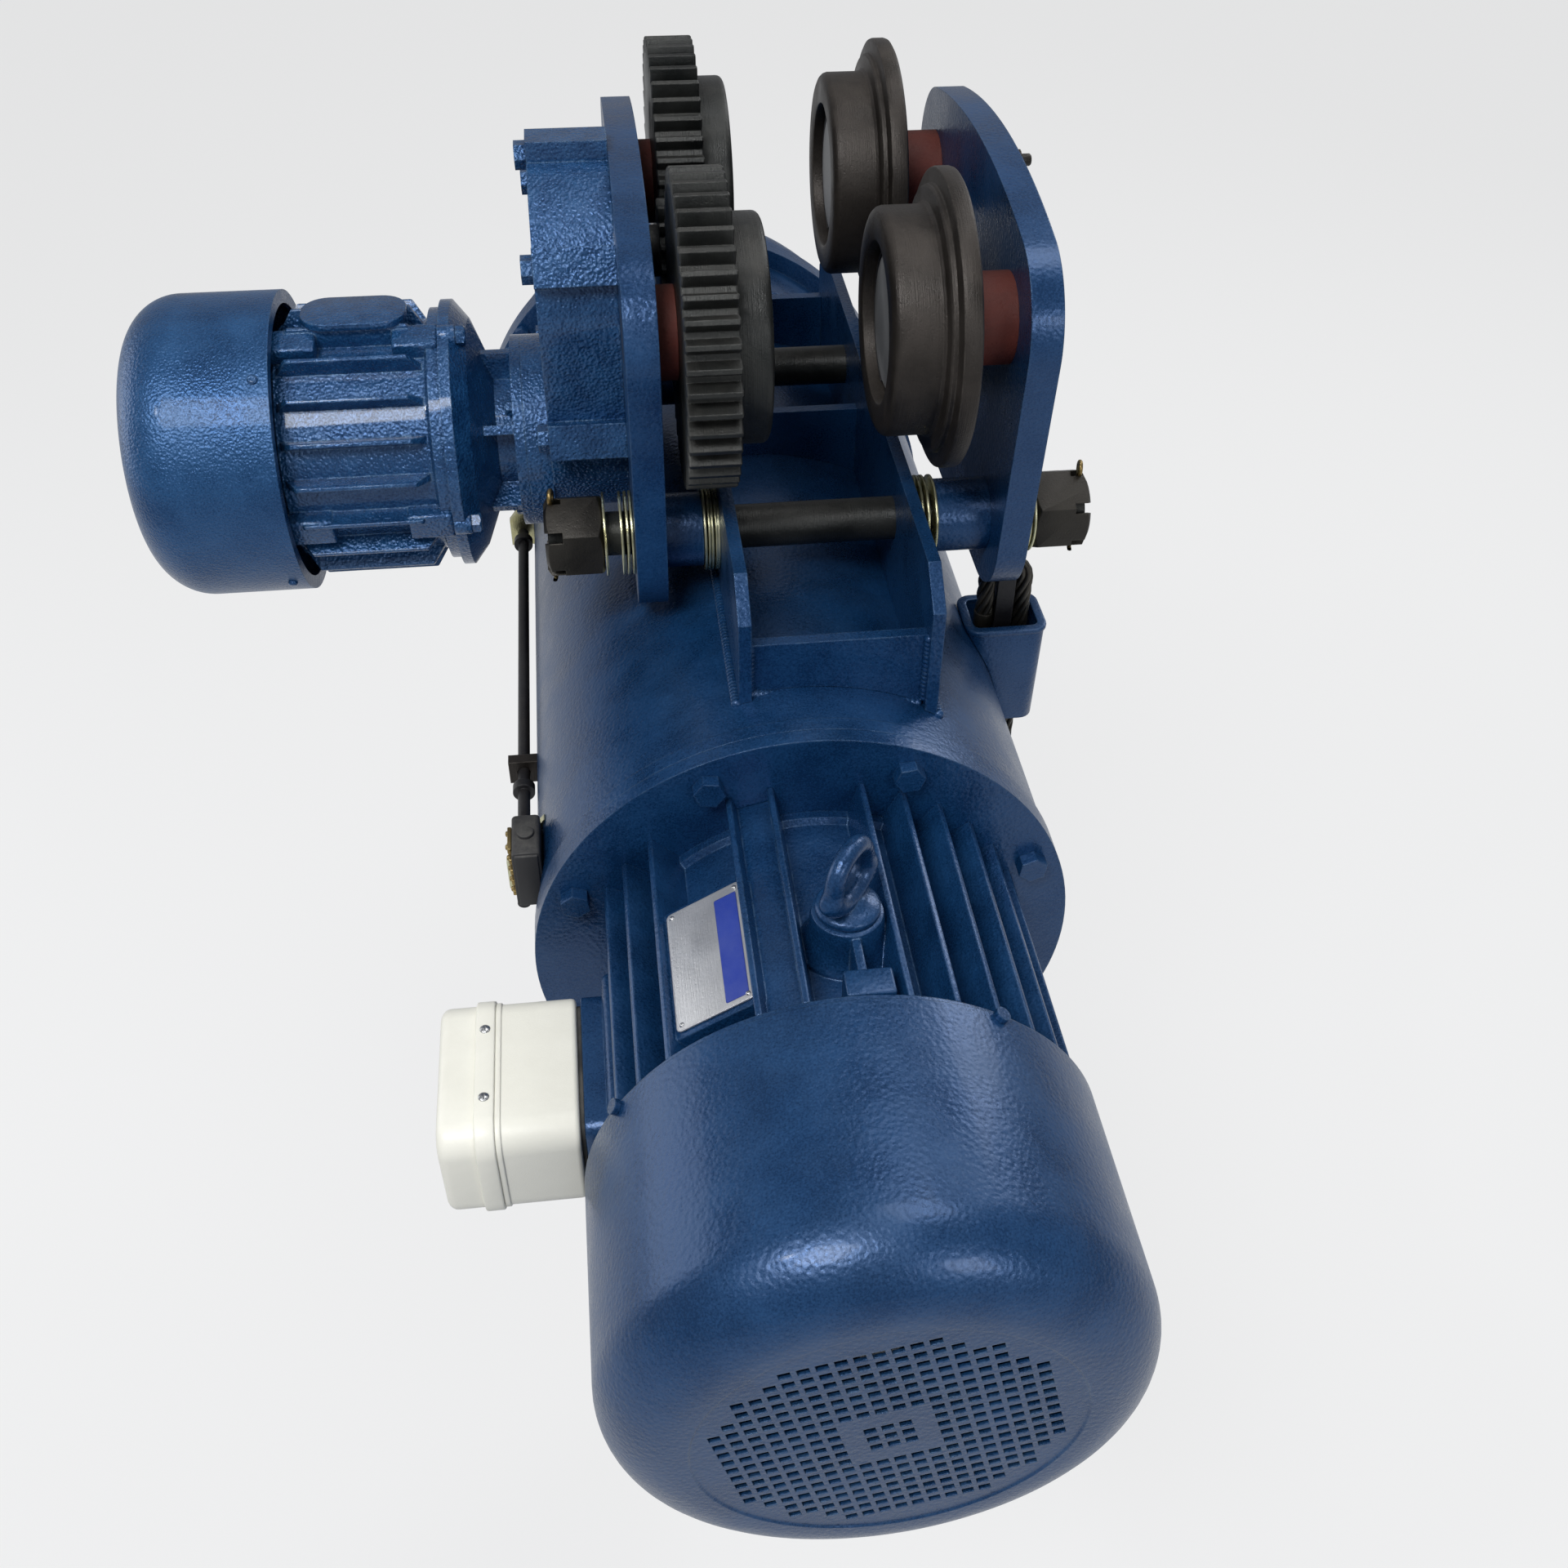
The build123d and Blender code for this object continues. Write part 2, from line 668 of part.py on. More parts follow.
# Front shield of the hoist motor, with the flange that carries the motor on the casing
coupling_start = motor_flange_t + 14
hub_lip_r = motor_shaft_r + 6
with BuildPart() as motor_front_shield:
    revolve(outline([
        (bearing_r, 0), (ring_r, 0), (ring_r, motor_flange_t), (120, motor_flange_t), (90, coupling_start - 2),
        (hub_lip_r, coupling_start - 2), (hub_lip_r, bearing_t), (bearing_r, bearing_t),
    ]), axis=drum_axis)
    with BuildSketch(facing(motor_flange_t)):
        with PolarLocations(flange_bolt_circle, flange_bolt_count, start_angle=22.5):
            Circle(bolt_r + seat_gap)
    extrude(amount=motor_flange_t, mode=Mode.SUBTRACT)
save(motor_front_shield, "motor_front_shield")

# Finned frame with the pedestal of the junction box, the eye bolt's boss and the nameplate's pad
turn = radians(plate_turn)
outward = (cos(turn), 0, sin(turn))


def pad_plane(radius):
    spot = (drum_x + radius * outward[0], flange_y - plate_y, drum_z + radius * outward[2])
    return Plane(origin=spot, x_dir=(0, 1, 0), z_dir=outward)


frame_foot = frame_r - 6
with BuildPart() as motor_frame:
    with BuildSketch(facing(0)):
        Circle(frame_r)
        with PolarLocations((frame_r + fin_r) / 2 - 1, fin_count):
            Rectangle(fin_r - frame_r + 2, fin_t)
    extrude(amount=frame_length)
    with BuildSketch(pad_plane(pad_r)):
        Rectangle(plate_long + 2 * pad_rim, plate_wide + 2 * pad_rim)
    extrude(amount=fin_r, mode=Mode.SUBTRACT)
    with BuildSketch(pad_plane(frame_foot - 4)):
        Rectangle(plate_long + 2 * pad_rim, plate_wide + 2 * pad_rim)
    extrude(amount=pad_r - frame_foot + 4)
    with BuildSketch(across(drum_x - pedestal_x, flange_y - pedestal_y, drum_z)):
        RectangleRounded(pedestal_long, pedestal_high, 8)
    extrude(amount=pedestal_x - frame_r + 14)
    extrude(disc(level(drum_x + eye_x, -eye_y, drum_z + frame_foot), boss_r), amount=boss_top - frame_foot)
    with BuildSketch(level(drum_x + eye_x, -eye_y - 2 * boss_r, drum_z + frame_foot)):
        Rectangle(boss_r, 2 * boss_r)
    extrude(amount=fin_r - frame_foot)
    extrude(disc(facing(0), frame_r - frame_wall), amount=frame_length, mode=Mode.SUBTRACT)
    hole = disc(level(drum_x + eye_x, -eye_y, drum_z + boss_top - eye_stem_long), eye_stem_r + seat_gap)
    extrude(hole, amount=eye_stem_long, mode=Mode.SUBTRACT)
save(motor_frame, "motor_frame")

with BuildPart() as eye_bolt:
    collar_z = drum_z + boss_top
    extrude(disc(level(drum_x + eye_x, -eye_y, collar_z - eye_stem_long + 1), eye_stem_r), amount=eye_stem_long)
    extrude(disc(level(drum_x + eye_x, -eye_y, collar_z), boss_r - 5), amount=8)
    ring_z = collar_z + 5 + eye_ring_r + eye_wire_r
    with BuildSketch(level(drum_x + eye_x, -eye_y, ring_z)):
        with Locations((eye_ring_r, 0)):
            Circle(eye_wire_r)
    revolve(axis=Axis((drum_x + eye_x, flange_y - eye_y, ring_z), (0, 1, 0)))
save(eye_bolt, "eye_bolt")

with BuildPart() as rating_plate:
    with BuildSketch(pad_plane(pad_r)):
        RectangleRounded(plate_long, plate_wide, 3)
    extrude(amount=plate_thick)
save(rating_plate, "rating_plate")

# Inside the motor: stator, bearings, rotor with its shaft
core_start = -(frame_length - stator_length) / 2
core_end = core_start - stator_length
stator_r = frame_r - frame_wall - seat_gap
with BuildPart() as stator_core:
    revolve(sleeve(stator_bore_r, stator_r, core_end, core_start), axis=drum_axis)
save(stator_core, "stator_core")

with BuildPart() as motor_rear_shield:
    revolve(outline([
        (bearing_r, frame_end), (fin_r, frame_end), (fin_r, shield_end), (96, shield_end), (88, shield_end - 12),
        (hub_lip_r, shield_end - 12), (hub_lip_r, shield_end), (bearing_r, shield_end),
    ]), axis=drum_axis)
save(motor_rear_shield, "motor_rear_shield")

with BuildPart() as motor_bearings:
    revolve(sleeve(motor_shaft_r + fit_gap, bearing_r - seat_gap, 0, bearing_t - 1), axis=drum_axis)
    revolve(sleeve(motor_shaft_r + fit_gap, bearing_r - seat_gap, shield_end + 1, frame_end), axis=drum_axis)
save(motor_bearings, "motor_bearings")

rotor_r = stator_bore_r - rotor_gap
with BuildPart() as motor_rotor:
    revolve(outline([
        (0, motor_shaft_end), (motor_shaft_r, motor_shaft_end), (motor_shaft_r, core_start), (rotor_r, core_start),
        (rotor_r, core_end), (motor_shaft_r, core_end), (motor_shaft_r, cover_end + 60), (0, cover_end + 60),
    ]), axis=drum_axis)
save(motor_rotor, "motor_rotor")

# Brake wheel with fan blades behind the rear shield
fan_face = shield_end - 22
fan_bore = motor_shaft_r + seat_gap
with BuildPart() as cooling_fan:
    revolve(outline([
        (fan_bore, fan_face), (fan_r - 22, fan_face), (fan_r - 12, fan_face - 24), (fan_r - 20, fan_face - 30),
        (fan_hub_r + 6, fan_face - 30), (fan_hub_r, fan_face - 70), (fan_bore, fan_face - 70),
    ]), axis=drum_axis)
    with BuildSketch(facing(fan_face - 28)):
        with PolarLocations((fan_r + fan_hub_r) / 2, fan_blades):
            Rectangle(fan_r - fan_hub_r, 4)
    extrude(amount=42)
save(cooling_fan, "cooling_fan")

# Bolts of the motor's flange and of the gearbox
gearbox_split = casing_end + gearbox_flange_t + gearbox_body
rim_front = gearbox_split - gearbox_rim_t
gear_x = drum_x + gearbox_x
gear_z = drum_z + gearbox_z
with BuildPart() as housing_bolts:
    with BuildSketch(facing(tube_start)):
        with PolarLocations(flange_bolt_circle, flange_bolt_count, start_angle=22.5):
            Circle(bolt_r)
    extrude(amount=tube_start)
    with BuildSketch(facing(0)):
        with PolarLocations(flange_bolt_circle, flange_bolt_count, start_angle=22.5):
            RegularPolygon(bolt_flat / 2, 6, major_radius=False)
    extrude(amount=10)
    with BuildSketch(facing(rim_front, gear_x, gear_z)):
        with PolarLocations(gearbox_bolt_circle, gearbox_bolt_count):
            RegularPolygon(gearbox_bolt_flat / 2, 6, major_radius=False)
    extrude(amount=8)
save(housing_bolts, "housing_bolts")


# Fan cover of the hoist motor: a deep rounded cup with rows of small slots in its end
def slot_spots():
    spots = []
    reach = int(grille_r / slot_pitch)
    for row in range(-reach, reach + 1):
        for column in range(-reach, reach + 1):
            in_blank = max(abs(row), abs(column)) == 2
            if sqrt(row * row + column * column) * slot_pitch < grille_r - slot_w and not in_blank:
                spots.append((column * slot_pitch, row * slot_pitch))
    return spots


with BuildPart() as fan_cover:
    revolve(cup(cover_r, cover_round, cover_wall, shield_end + cover_seat, cover_end, cup_plane), axis=drum_axis)
    revolve(sleeve(fin_r + seat_gap, cover_r - 1, shield_end, shield_end + cover_seat), axis=drum_axis)
    with BuildSketch(facing(cover_end + cover_wall)):
        with Locations(Rotation(0, 0, slot_turn)):
            with Locations(*slot_spots()):
                Rectangle(slot_w, slot_h)
    extrude(amount=cover_wall, mode=Mode.SUBTRACT)
save(fan_cover, "fan_cover")

with BuildPart() as fan_cover_screws:
    for screw_turn in (58, 148, 238, 328):
        way = (cos(radians(screw_turn)), 0, sin(radians(screw_turn)))
        head = (drum_x + cover_r * way[0], flange_y + shield_end + cover_seat / 2, drum_z + cover_r * way[2])
        extrude(disc(Plane(origin=head, z_dir=way), 5), amount=4)
save(fan_cover_screws, "fan_cover_screws")


# Junction box on its pedestal: gasket, base with a cable entry, lid with a raised band
def box_face(x, grow=0.0):
    with BuildSketch(across(drum_x + x, flange_y - pedestal_y, drum_z)) as shape:
        RectangleRounded(box_long + 2 * grow, box_high + 2 * grow, box_round + grow)
    return shape.sketch


box_start = -pedestal_x - gasket_t
box_split = box_start - box_depth
box_end = box_split - lid_depth
with BuildPart() as box_gasket:
    extrude(box_face(box_start, -6), amount=gasket_t)
save(box_gasket, "box_gasket")

with BuildPart() as junction_box:
    extrude(box_face(box_split), amount=box_depth)
    extrude(box_face(box_split, -box_wall), amount=box_depth - box_wall, mode=Mode.SUBTRACT)
    entry = level(drum_x + box_start - box_depth / 2, -pedestal_y, drum_z - box_high / 2)
    extrude(disc(entry, cable_entry_r), amount=box_wall, mode=Mode.SUBTRACT)
save(junction_box, "junction_box")

with BuildPart() as junction_box_cover:
    extrude(box_face(box_end), amount=lid_depth)
    extrude(box_face(box_split - band_wide, band_lift), amount=band_wide)
    extrude(box_face(box_end + box_wall, -box_wall), amount=lid_depth - box_wall, mode=Mode.SUBTRACT)
save(junction_box_cover, "junction_box_cover")

# Drum on the long shaft, its rope turns and the last turn that leaves it
hub_bore = drive_shaft_r + fit_gap
hub_end = casing_end + 30
with BuildPart() as rope_drum:
    inner = drum_r - drum_wall
    revolve(outline([
        (hub_bore, drum_start), (drum_flange_r, drum_start), (drum_flange_r, drum_start + drum_wall),
        (drum_r, drum_start + drum_wall), (drum_r, drum_end - drum_wall), (drum_flange_r, drum_end - drum_wall),
        (drum_flange_r, drum_end), (drum_hub_r, drum_end), (drum_hub_r, hub_end), (hub_bore, hub_end),
        (hub_bore, drum_end - drum_wall), (inner, drum_end - drum_wall), (inner, drum_start + drum_wall),
        (hub_bore, drum_start + drum_wall),
    ]), axis=drum_axis)
save(rope_drum, "rope_drum")

wraps_end = wraps_start + turn_count * groove_pitch
rope_top = drum_r + 2 * rope_r
with BuildPart() as rope_wraps:
    crown = []
    for wrap in range(turn_count):
        start = wraps_start + wrap * groove_pitch
        crown += [(drum_r + 9, start), (rope_top, start + 5), (rope_top, start + 12)]
    revolve(outline([(drum_r, wraps_start)] + crown + [(drum_r + 9, wraps_end), (drum_r, wraps_end)]), axis=drum_axis)
    with BuildSketch(Plane(origin=(drum_x, flange_y + rope_exit, drum_z), x_dir=(-1, 0, 0), z_dir=(0, 0, 1))):
        with Locations((rope_turn_r, 0)):
            Circle(rope_r)
    revolve(axis=drum_axis, revolution_arc=150)
save(rope_wraps, "rope_wraps")

shaft_far = casing_end + 60
with BuildPart() as drive_shaft:
    revolve(outline([
        (0, motor_shaft_end), (fan_bore, motor_shaft_end), (fan_bore, coupling_start), (coupling_r, coupling_start),
        (coupling_r, drum_start - 3), (drive_shaft_r, drum_start - 3), (drive_shaft_r, shaft_far), (0, shaft_far),
    ]), axis=drum_axis)
save(drive_shaft, "drive_shaft")

# Rope guide: a ring round the drum with a tongue that reaches the limit rod
tongue_in = -guide_in_r - 6
tongue_out = rod_x - 12
guide_middle = guide_start + guide_length / 2
with BuildPart() as rope_guide:
    revolve(sleeve(guide_in_r, guide_out_r, guide_start, guide_start + guide_length), axis=drum_axis)
    with BuildSketch(facing(guide_middle + tongue_t / 2)):
        with Locations(((tongue_in + tongue_out) / 2, rod_z)):
            Rectangle(tongue_in - tongue_out, tongue_high)
    extrude(amount=tongue_t)
    tongue_hole = disc(facing(guide_middle + tongue_t / 2, drum_x + rod_x, drum_z + rod_z), rod_r + free_gap)
    extrude(tongue_hole, amount=tongue_t, mode=Mode.SUBTRACT)
save(rope_guide, "rope_guide")

with BuildPart() as limit_rod:
    extrude(disc(facing(rod_end, drum_x + rod_x, drum_z + rod_z), rod_r), amount=rod_end - rod_start)
    for start in (front_collar, rear_collar):
        extrude(disc(facing(start + collar_t, drum_x + rod_x, drum_z + rod_z), collar_r), amount=collar_t)
save(limit_rod, "limit_rod")

with BuildPart() as limit_brackets:
    for start in (front_bracket, rear_bracket):
        with BuildSketch(facing(start + bracket_sheet)):
            with BuildLine():
                Polyline((-218, -8), (-218, 20), (-186, 62), (-176, 62), (-176, -8), close=True)
            make_face()
            Circle(casing_r + seat_gap, mode=Mode.SUBTRACT)
            with Locations((rod_x, rod_z)):
                Circle(rod_r + fit_gap, mode=Mode.SUBTRACT)
        extrude(amount=bracket_sheet)
save(limit_brackets, "limit_brackets")

with BuildPart() as limit_switch:
    with BuildSketch(facing(front_bracket)):
        with Locations((-202, 44)):
            Rectangle(34, 58)
        Circle(casing_r + seat_gap, mode=Mode.SUBTRACT)
    extrude(amount=44)
save(limit_switch, "limit_switch")

# Gearbox: housing on the casing's rear ring and a round dome
gearbox_plane = Plane(origin=(gear_x, flange_y, gear_z), x_dir=(1, 0, 0), z_dir=(0, 0, 1))
gearbox_axis = Axis((gear_x, 0, gear_z), (0, 1, 0))
gearbox_front = casing_end + gearbox_flange_t
with BuildPart() as gearbox_housing:
    extrude(disc(facing(gearbox_front), ring_r), amount=gearbox_flange_t)
    revolve(outline([
        (0, gearbox_front), (178, gearbox_front), (gearbox_r - 2, gearbox_front + 26), (gearbox_r - 2, rim_front),
        (gearbox_rim_r, rim_front), (gearbox_rim_r, gearbox_split), (0, gearbox_split),
    ], gearbox_plane), axis=gearbox_axis)
    extrude(disc(facing(hub_end + 4), drum_hub_r + free_gap), amount=hub_end + 4 - casing_end, mode=Mode.SUBTRACT)
    extrude(disc(facing(shaft_far + 4), drive_shaft_r + free_gap), amount=40, mode=Mode.SUBTRACT)
save(gearbox_housing, "gearbox_housing")

with BuildPart() as gearbox_cover:
    far = gearbox_split + gearbox_dome
    bend = gearbox_round * (1 - cos(radians(45)))
    with BuildSketch(gearbox_plane):
        with BuildLine():
            Polyline((0, far), (0, gearbox_split), (gearbox_rim_r, gearbox_split),
                     (gearbox_rim_r, gearbox_split + gearbox_rim_t), (gearbox_r, gearbox_split + gearbox_rim_t),
                     (gearbox_r, far - gearbox_round))
            ThreePointArc((gearbox_r, far - gearbox_round), (gearbox_r - bend, far - bend),
                          (gearbox_r - gearbox_round, far))
            Line((gearbox_r - gearbox_round, far), (0, far))
        make_face()
    revolve(axis=gearbox_axis)
save(gearbox_cover, "gearbox_cover")

# Wedge socket on the casing's right flank: a loop of rope over a wedge, held by the shell
loop_r = leg_gap / 2
socket_x = dead_x - loop_r
pocket_wide = leg_gap + 2 * rope_r + 2
pocket_deep = 2 * rope_r + 2
with BuildPart() as wedge_socket:
    for z, widen in ((socket_low, 0.0), (socket_top, 22.0)):
        with BuildSketch(level(drum_x + socket_x, rope_exit, drum_z + z)):
            RectangleRounded(pocket_wide + 2 * socket_wall + widen / 4, pocket_deep + 2 * socket_wall + widen, 8)
    loft()
    with BuildSketch(level(drum_x + socket_x, rope_exit, drum_z + socket_low)):
        Rectangle(pocket_wide, pocket_deep)
    extrude(amount=socket_top - socket_low, mode=Mode.SUBTRACT)
    extrude(disc(facing(casing_end), casing_r + seat_gap), amount=casing_length, mode=Mode.SUBTRACT)
save(wedge_socket, "wedge_socket")

loop_z = socket_top + 34
wedge_half = loop_r - rope_r - free_gap
wedge_low = socket_low + 46
with BuildPart() as rope_wedge:
    with BuildSketch(facing(rope_exit + rope_r - 1, drum_x + socket_x, drum_z)):
        with BuildLine():
            Polyline((-wedge_half, loop_z), (-wedge_half, wedge_low), (wedge_half, wedge_low), (wedge_half, loop_z))
            ThreePointArc((wedge_half, loop_z), (0, loop_z + wedge_half), (-wedge_half, loop_z))
        make_face()
    extrude(amount=2 * rope_r - 2)
save(rope_wedge, "rope_wedge")

dead_fall_top = drum_z + socket_low + 10
tail_low = drum_z + 104
with BuildPart() as rope_dead_end:
    for x, low in ((dead_x, dead_fall_top + free_gap), (dead_x - leg_gap, tail_low)):
        extrude(disc(level(drum_x + x, rope_exit, low), rope_r), amount=drum_z + loop_z - low)
    with BuildSketch(level(drum_x + socket_x, rope_exit, drum_z + loop_z)):
        with Locations((loop_r, 0)):
            Circle(rope_r)
    loop_axis = Axis((drum_x + socket_x, flange_y + rope_exit, drum_z + loop_z), (0, -1, 0))
    revolve(axis=loop_axis, revolution_arc=180)
save(rope_dead_end, "rope_dead_end")

# Two straight falls of rope, down to the middle of the sheave
live_fall_top = drum_z - free_gap
fall_foot = block_z + free_gap
with BuildPart() as rope_fall_live:
    extrude(disc(level(rope_x, rope_exit, fall_foot), rope_r), amount=live_fall_top - fall_foot)
save(rope_fall_live, "rope_fall_live")

with BuildPart() as rope_fall_dead:
    extrude(disc(level(dead_fall_x, rope_exit, fall_foot), rope_r), amount=dead_fall_top - fall_foot)
save(rope_fall_dead, "rope_fall_dead")

# Hook block: grooved sheave on an axle between two cheeks, crosshead below it
block_plane = level(block_x, rope_exit, block_z)
block_axis = Axis((block_x, 0, block_z), (0, 1, 0))
groove_r = rope_r + free_gap
sheave_r = rope_pitch_r + sheave_rim
sheave_bore = sheave_axle_r + fit_gap
hub_half = sheave_half + cheek_gap - free_gap
with BuildPart() as sheave:
    web = sheave_web / 2
    revolve(outline([
        (sheave_bore, -hub_half), (sheave_hub_r, -hub_half), (sheave_hub_r, -web), (rope_pitch_r - 30, -web),
        (rope_pitch_r - 20, -sheave_half), (sheave_r, -sheave_half), (sheave_r, sheave_half),
        (rope_pitch_r - 20, sheave_half), (rope_pitch_r - 30, web), (sheave_hub_r, web), (sheave_hub_r, hub_half),
        (sheave_bore, hub_half),
    ], block_plane), axis=block_axis)
    with BuildSketch(block_plane):
        with Locations((rope_pitch_r, 0)):
            Circle(groove_r)
        with Locations((rope_pitch_r + sheave_rim, 0)):
            Rectangle(2 * sheave_rim, 2 * groove_r)
    revolve(axis=block_axis, mode=Mode.SUBTRACT)
save(sheave, "sheave")

with BuildPart() as rope_under_sheave:
    with BuildSketch(block_plane):
        with Locations((rope_pitch_r, 0)):
            Circle(rope_r)
    revolve(axis=block_axis, revolution_arc=180)
save(rope_under_sheave, "rope_under_sheave")

cheek_in = sheave_half + cheek_gap
cheek_out = cheek_in + cheek_t
crosshead_z = block_z - crosshead_drop
crosshead_low = crosshead_z - crosshead_high / 2
with BuildPart() as block_cheeks:
    for start in (-cheek_in, cheek_out):
        with BuildSketch(facing(rope_exit + start, block_x, block_z)):
            Circle(cheek_r)
            with Locations((-cheek_foot_x, -crosshead_drop), (cheek_foot_x, -crosshead_drop)):
                Circle(cheek_foot_r)
            make_hull()
            Circle(sheave_axle_r + seat_gap, mode=Mode.SUBTRACT)
            with Locations((0, -crosshead_drop)):
                Circle(trunnion_r + seat_gap, mode=Mode.SUBTRACT)
        extrude(amount=cheek_t)
save(block_cheeks, "block_cheeks")

with BuildPart() as sheave_axle:
    extrude(disc(facing(rope_exit + cheek_out + 8, block_x, block_z), sheave_axle_r), amount=2 * cheek_out + 16)
save(sheave_axle, "sheave_axle")

with BuildPart() as crosshead:
    with BuildSketch(level(block_x, rope_exit, crosshead_low)):
        Rectangle(crosshead_long, 2 * cheek_in - 2 * seat_gap)
    extrude(amount=crosshead_high)
    trunnion = disc(facing(rope_exit + cheek_out + 4, block_x, crosshead_z), trunnion_r)
    extrude(trunnion, amount=2 * cheek_out + 8)
    shank_hole = disc(level(block_x, rope_exit, crosshead_low), shank_thread_r + fit_gap)
    extrude(shank_hole, amount=crosshead_high, mode=Mode.SUBTRACT)
save(crosshead, "crosshead")

# Hook: one forged hook with an open throat, its shank in the crosshead and a nut above
hook_z = block_z - hook_drop
neck_top = crosshead_low - free_gap
nut_low = crosshead_low + crosshead_high + free_gap
lug_x = block_x + latch_x
lug_z = hook_z + latch_z
with BuildPart() as hook:
    with BuildSketch(facing(rope_exit, block_x, hook_z)):
        with BuildLine():
            ThreePointArc((-shank_r, 82), (-8, 52), (20.6, 32))
            ThreePointArc((20.6, 32), (22.6, -30.5), (-36.5, -10.6))
            ThreePointArc((-36.5, -10.6), (-46, 8), (-60, 26))
            ThreePointArc((-60, 26), (-71, 35), (-80, 28))
            ThreePointArc((-80, 28), (-91, -8), (-76, -46))
            ThreePointArc((-76, -46), (-4, -90), (70, -50))
            ThreePointArc((70, -50), (86, -4), (62, 40))
            ThreePointArc((62, 40), (34, 60), (shank_r, 88))
            Line((shank_r, 88), (-shank_r, 82))
        make_face()
    extrude(amount=hook_thick / 2, both=True, taper=hook_draft)
    neck_low = hook_z + 72
    extrude(disc(level(block_x, rope_exit, neck_low), shank_r), amount=neck_top - neck_low)
    extrude(disc(level(block_x, rope_exit, neck_top), shank_thread_r), amount=nut_low + hook_nut_t - neck_top)
    with BuildSketch(facing(rope_exit + latch_lug_half, lug_x, lug_z)):
        Circle(latch_lug_r)
        with Locations((-latch_x / 2 - 6, 0)):
            Rectangle(-latch_x - 12, 1.6 * latch_lug_r)
        Circle(latch_pin_r + fit_gap, mode=Mode.SUBTRACT)
    extrude(amount=2 * latch_lug_half)
save(hook, "hook")

with BuildPart() as hook_nut:
    nut_plane = level(block_x, rope_exit, nut_low)
    extrude(disc(nut_plane, hook_nut_r, shank_thread_r + seat_gap), amount=hook_nut_t)
save(hook_nut, "hook_nut")

# Safety latch: two ears on the pin through the hook's lug, and the tongue that closes the throat
ear_in = latch_lug_half + free_gap
strip_start = latch_lug_r + 2
with BuildPart() as hook_latch:
    for start in (-ear_in, latch_half):
        with BuildSketch(facing(rope_exit + start, lug_x, lug_z)):
            Circle(latch_pin_r + 4)
            with Locations(Rotation(0, 0, latch_turn) * Location(((strip_start + 6) / 2, 0))):
                Rectangle(strip_start + 6, 2 * latch_pin_r + 2)
        extrude(amount=latch_half - ear_in)
    with BuildSketch(facing(rope_exit + latch_half, lug_x, lug_z)):
        with Locations(Rotation(0, 0, latch_turn) * Location(((strip_start + latch_long) / 2, 0))):
            Rectangle(latch_long - strip_start, latch_t)
    extrude(amount=2 * latch_half)
    extrude(disc(facing(rope_exit + latch_half, lug_x, lug_z), latch_pin_r), amount=2 * latch_half)
save(hook_latch, "hook_latch")
print("pieces written")
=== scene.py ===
import math
import random

import bmesh
import bpy
from mathutils import Matrix, Vector


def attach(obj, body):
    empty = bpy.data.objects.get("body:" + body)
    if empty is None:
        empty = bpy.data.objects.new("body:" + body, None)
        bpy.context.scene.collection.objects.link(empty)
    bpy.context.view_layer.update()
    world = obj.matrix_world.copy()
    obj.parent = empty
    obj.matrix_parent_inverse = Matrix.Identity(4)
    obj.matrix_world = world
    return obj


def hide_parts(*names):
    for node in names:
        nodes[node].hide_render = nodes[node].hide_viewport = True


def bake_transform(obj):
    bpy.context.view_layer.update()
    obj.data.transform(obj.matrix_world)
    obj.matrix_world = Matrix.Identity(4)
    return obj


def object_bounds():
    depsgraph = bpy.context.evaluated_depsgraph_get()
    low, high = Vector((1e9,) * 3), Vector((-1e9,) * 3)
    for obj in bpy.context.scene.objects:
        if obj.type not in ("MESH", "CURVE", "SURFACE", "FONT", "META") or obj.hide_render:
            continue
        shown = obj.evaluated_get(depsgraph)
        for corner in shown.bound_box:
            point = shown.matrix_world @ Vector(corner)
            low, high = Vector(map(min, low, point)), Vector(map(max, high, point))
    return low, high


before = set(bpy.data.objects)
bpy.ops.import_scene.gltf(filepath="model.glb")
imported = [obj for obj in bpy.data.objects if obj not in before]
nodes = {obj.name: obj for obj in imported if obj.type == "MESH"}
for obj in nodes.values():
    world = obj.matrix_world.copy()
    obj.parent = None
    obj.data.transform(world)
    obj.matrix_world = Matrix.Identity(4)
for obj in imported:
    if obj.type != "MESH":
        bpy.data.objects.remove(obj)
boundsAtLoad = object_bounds()
print("frame loaded,", len(nodes), "nodes")

# ---------- camera, floor and lamps
cameraSetup = {
    "place": (-0.1507, -1.1212, 0.5614),
    "look": (0.0983, 0.7370, -0.6687),
    "lens": 36.55,
    "roll": 0.90,
}
studio = {
    "floorDrop": 0.012,
    "floorSize": 14.0,
    "floorColour": (0.62, 0.63, 0.64, 1),
    "worldColour": (0.93, 0.95, 1.0, 1),
    "worldStrength": 0.33,
}
lamps = (
    # name, place, aimed at, size, watts
    ("keyLamp", (-1.1, -2.0, 2.6), (-0.1, -0.1, -0.2), 1.1, 62),
    ("frontLamp", (1.25, -2.7, 0.95), (0.0, -0.4, -0.2), 0.7, 13),
    ("glintLamp", (-1.5, -1.3, 1.9), (-0.35, 0.1, 0.0), 0.18, 9),
    ("topLamp", (0.9, 0.3, 2.9), (0.0, 0.0, -0.1), 1.4, 24),
    ("rimLamp", (2.4, 1.9, 1.3), (0.0, 0.0, -0.3), 1.2, 22),
    ("lowLamp", (-2.6, 0.9, 0.1), (0.0, 0.0, -0.5), 1.5, 12),
)


def aimedRotation(place, target):
    return (Vector(target) - Vector(place)).to_track_quat("-Z", "Y").to_euler()


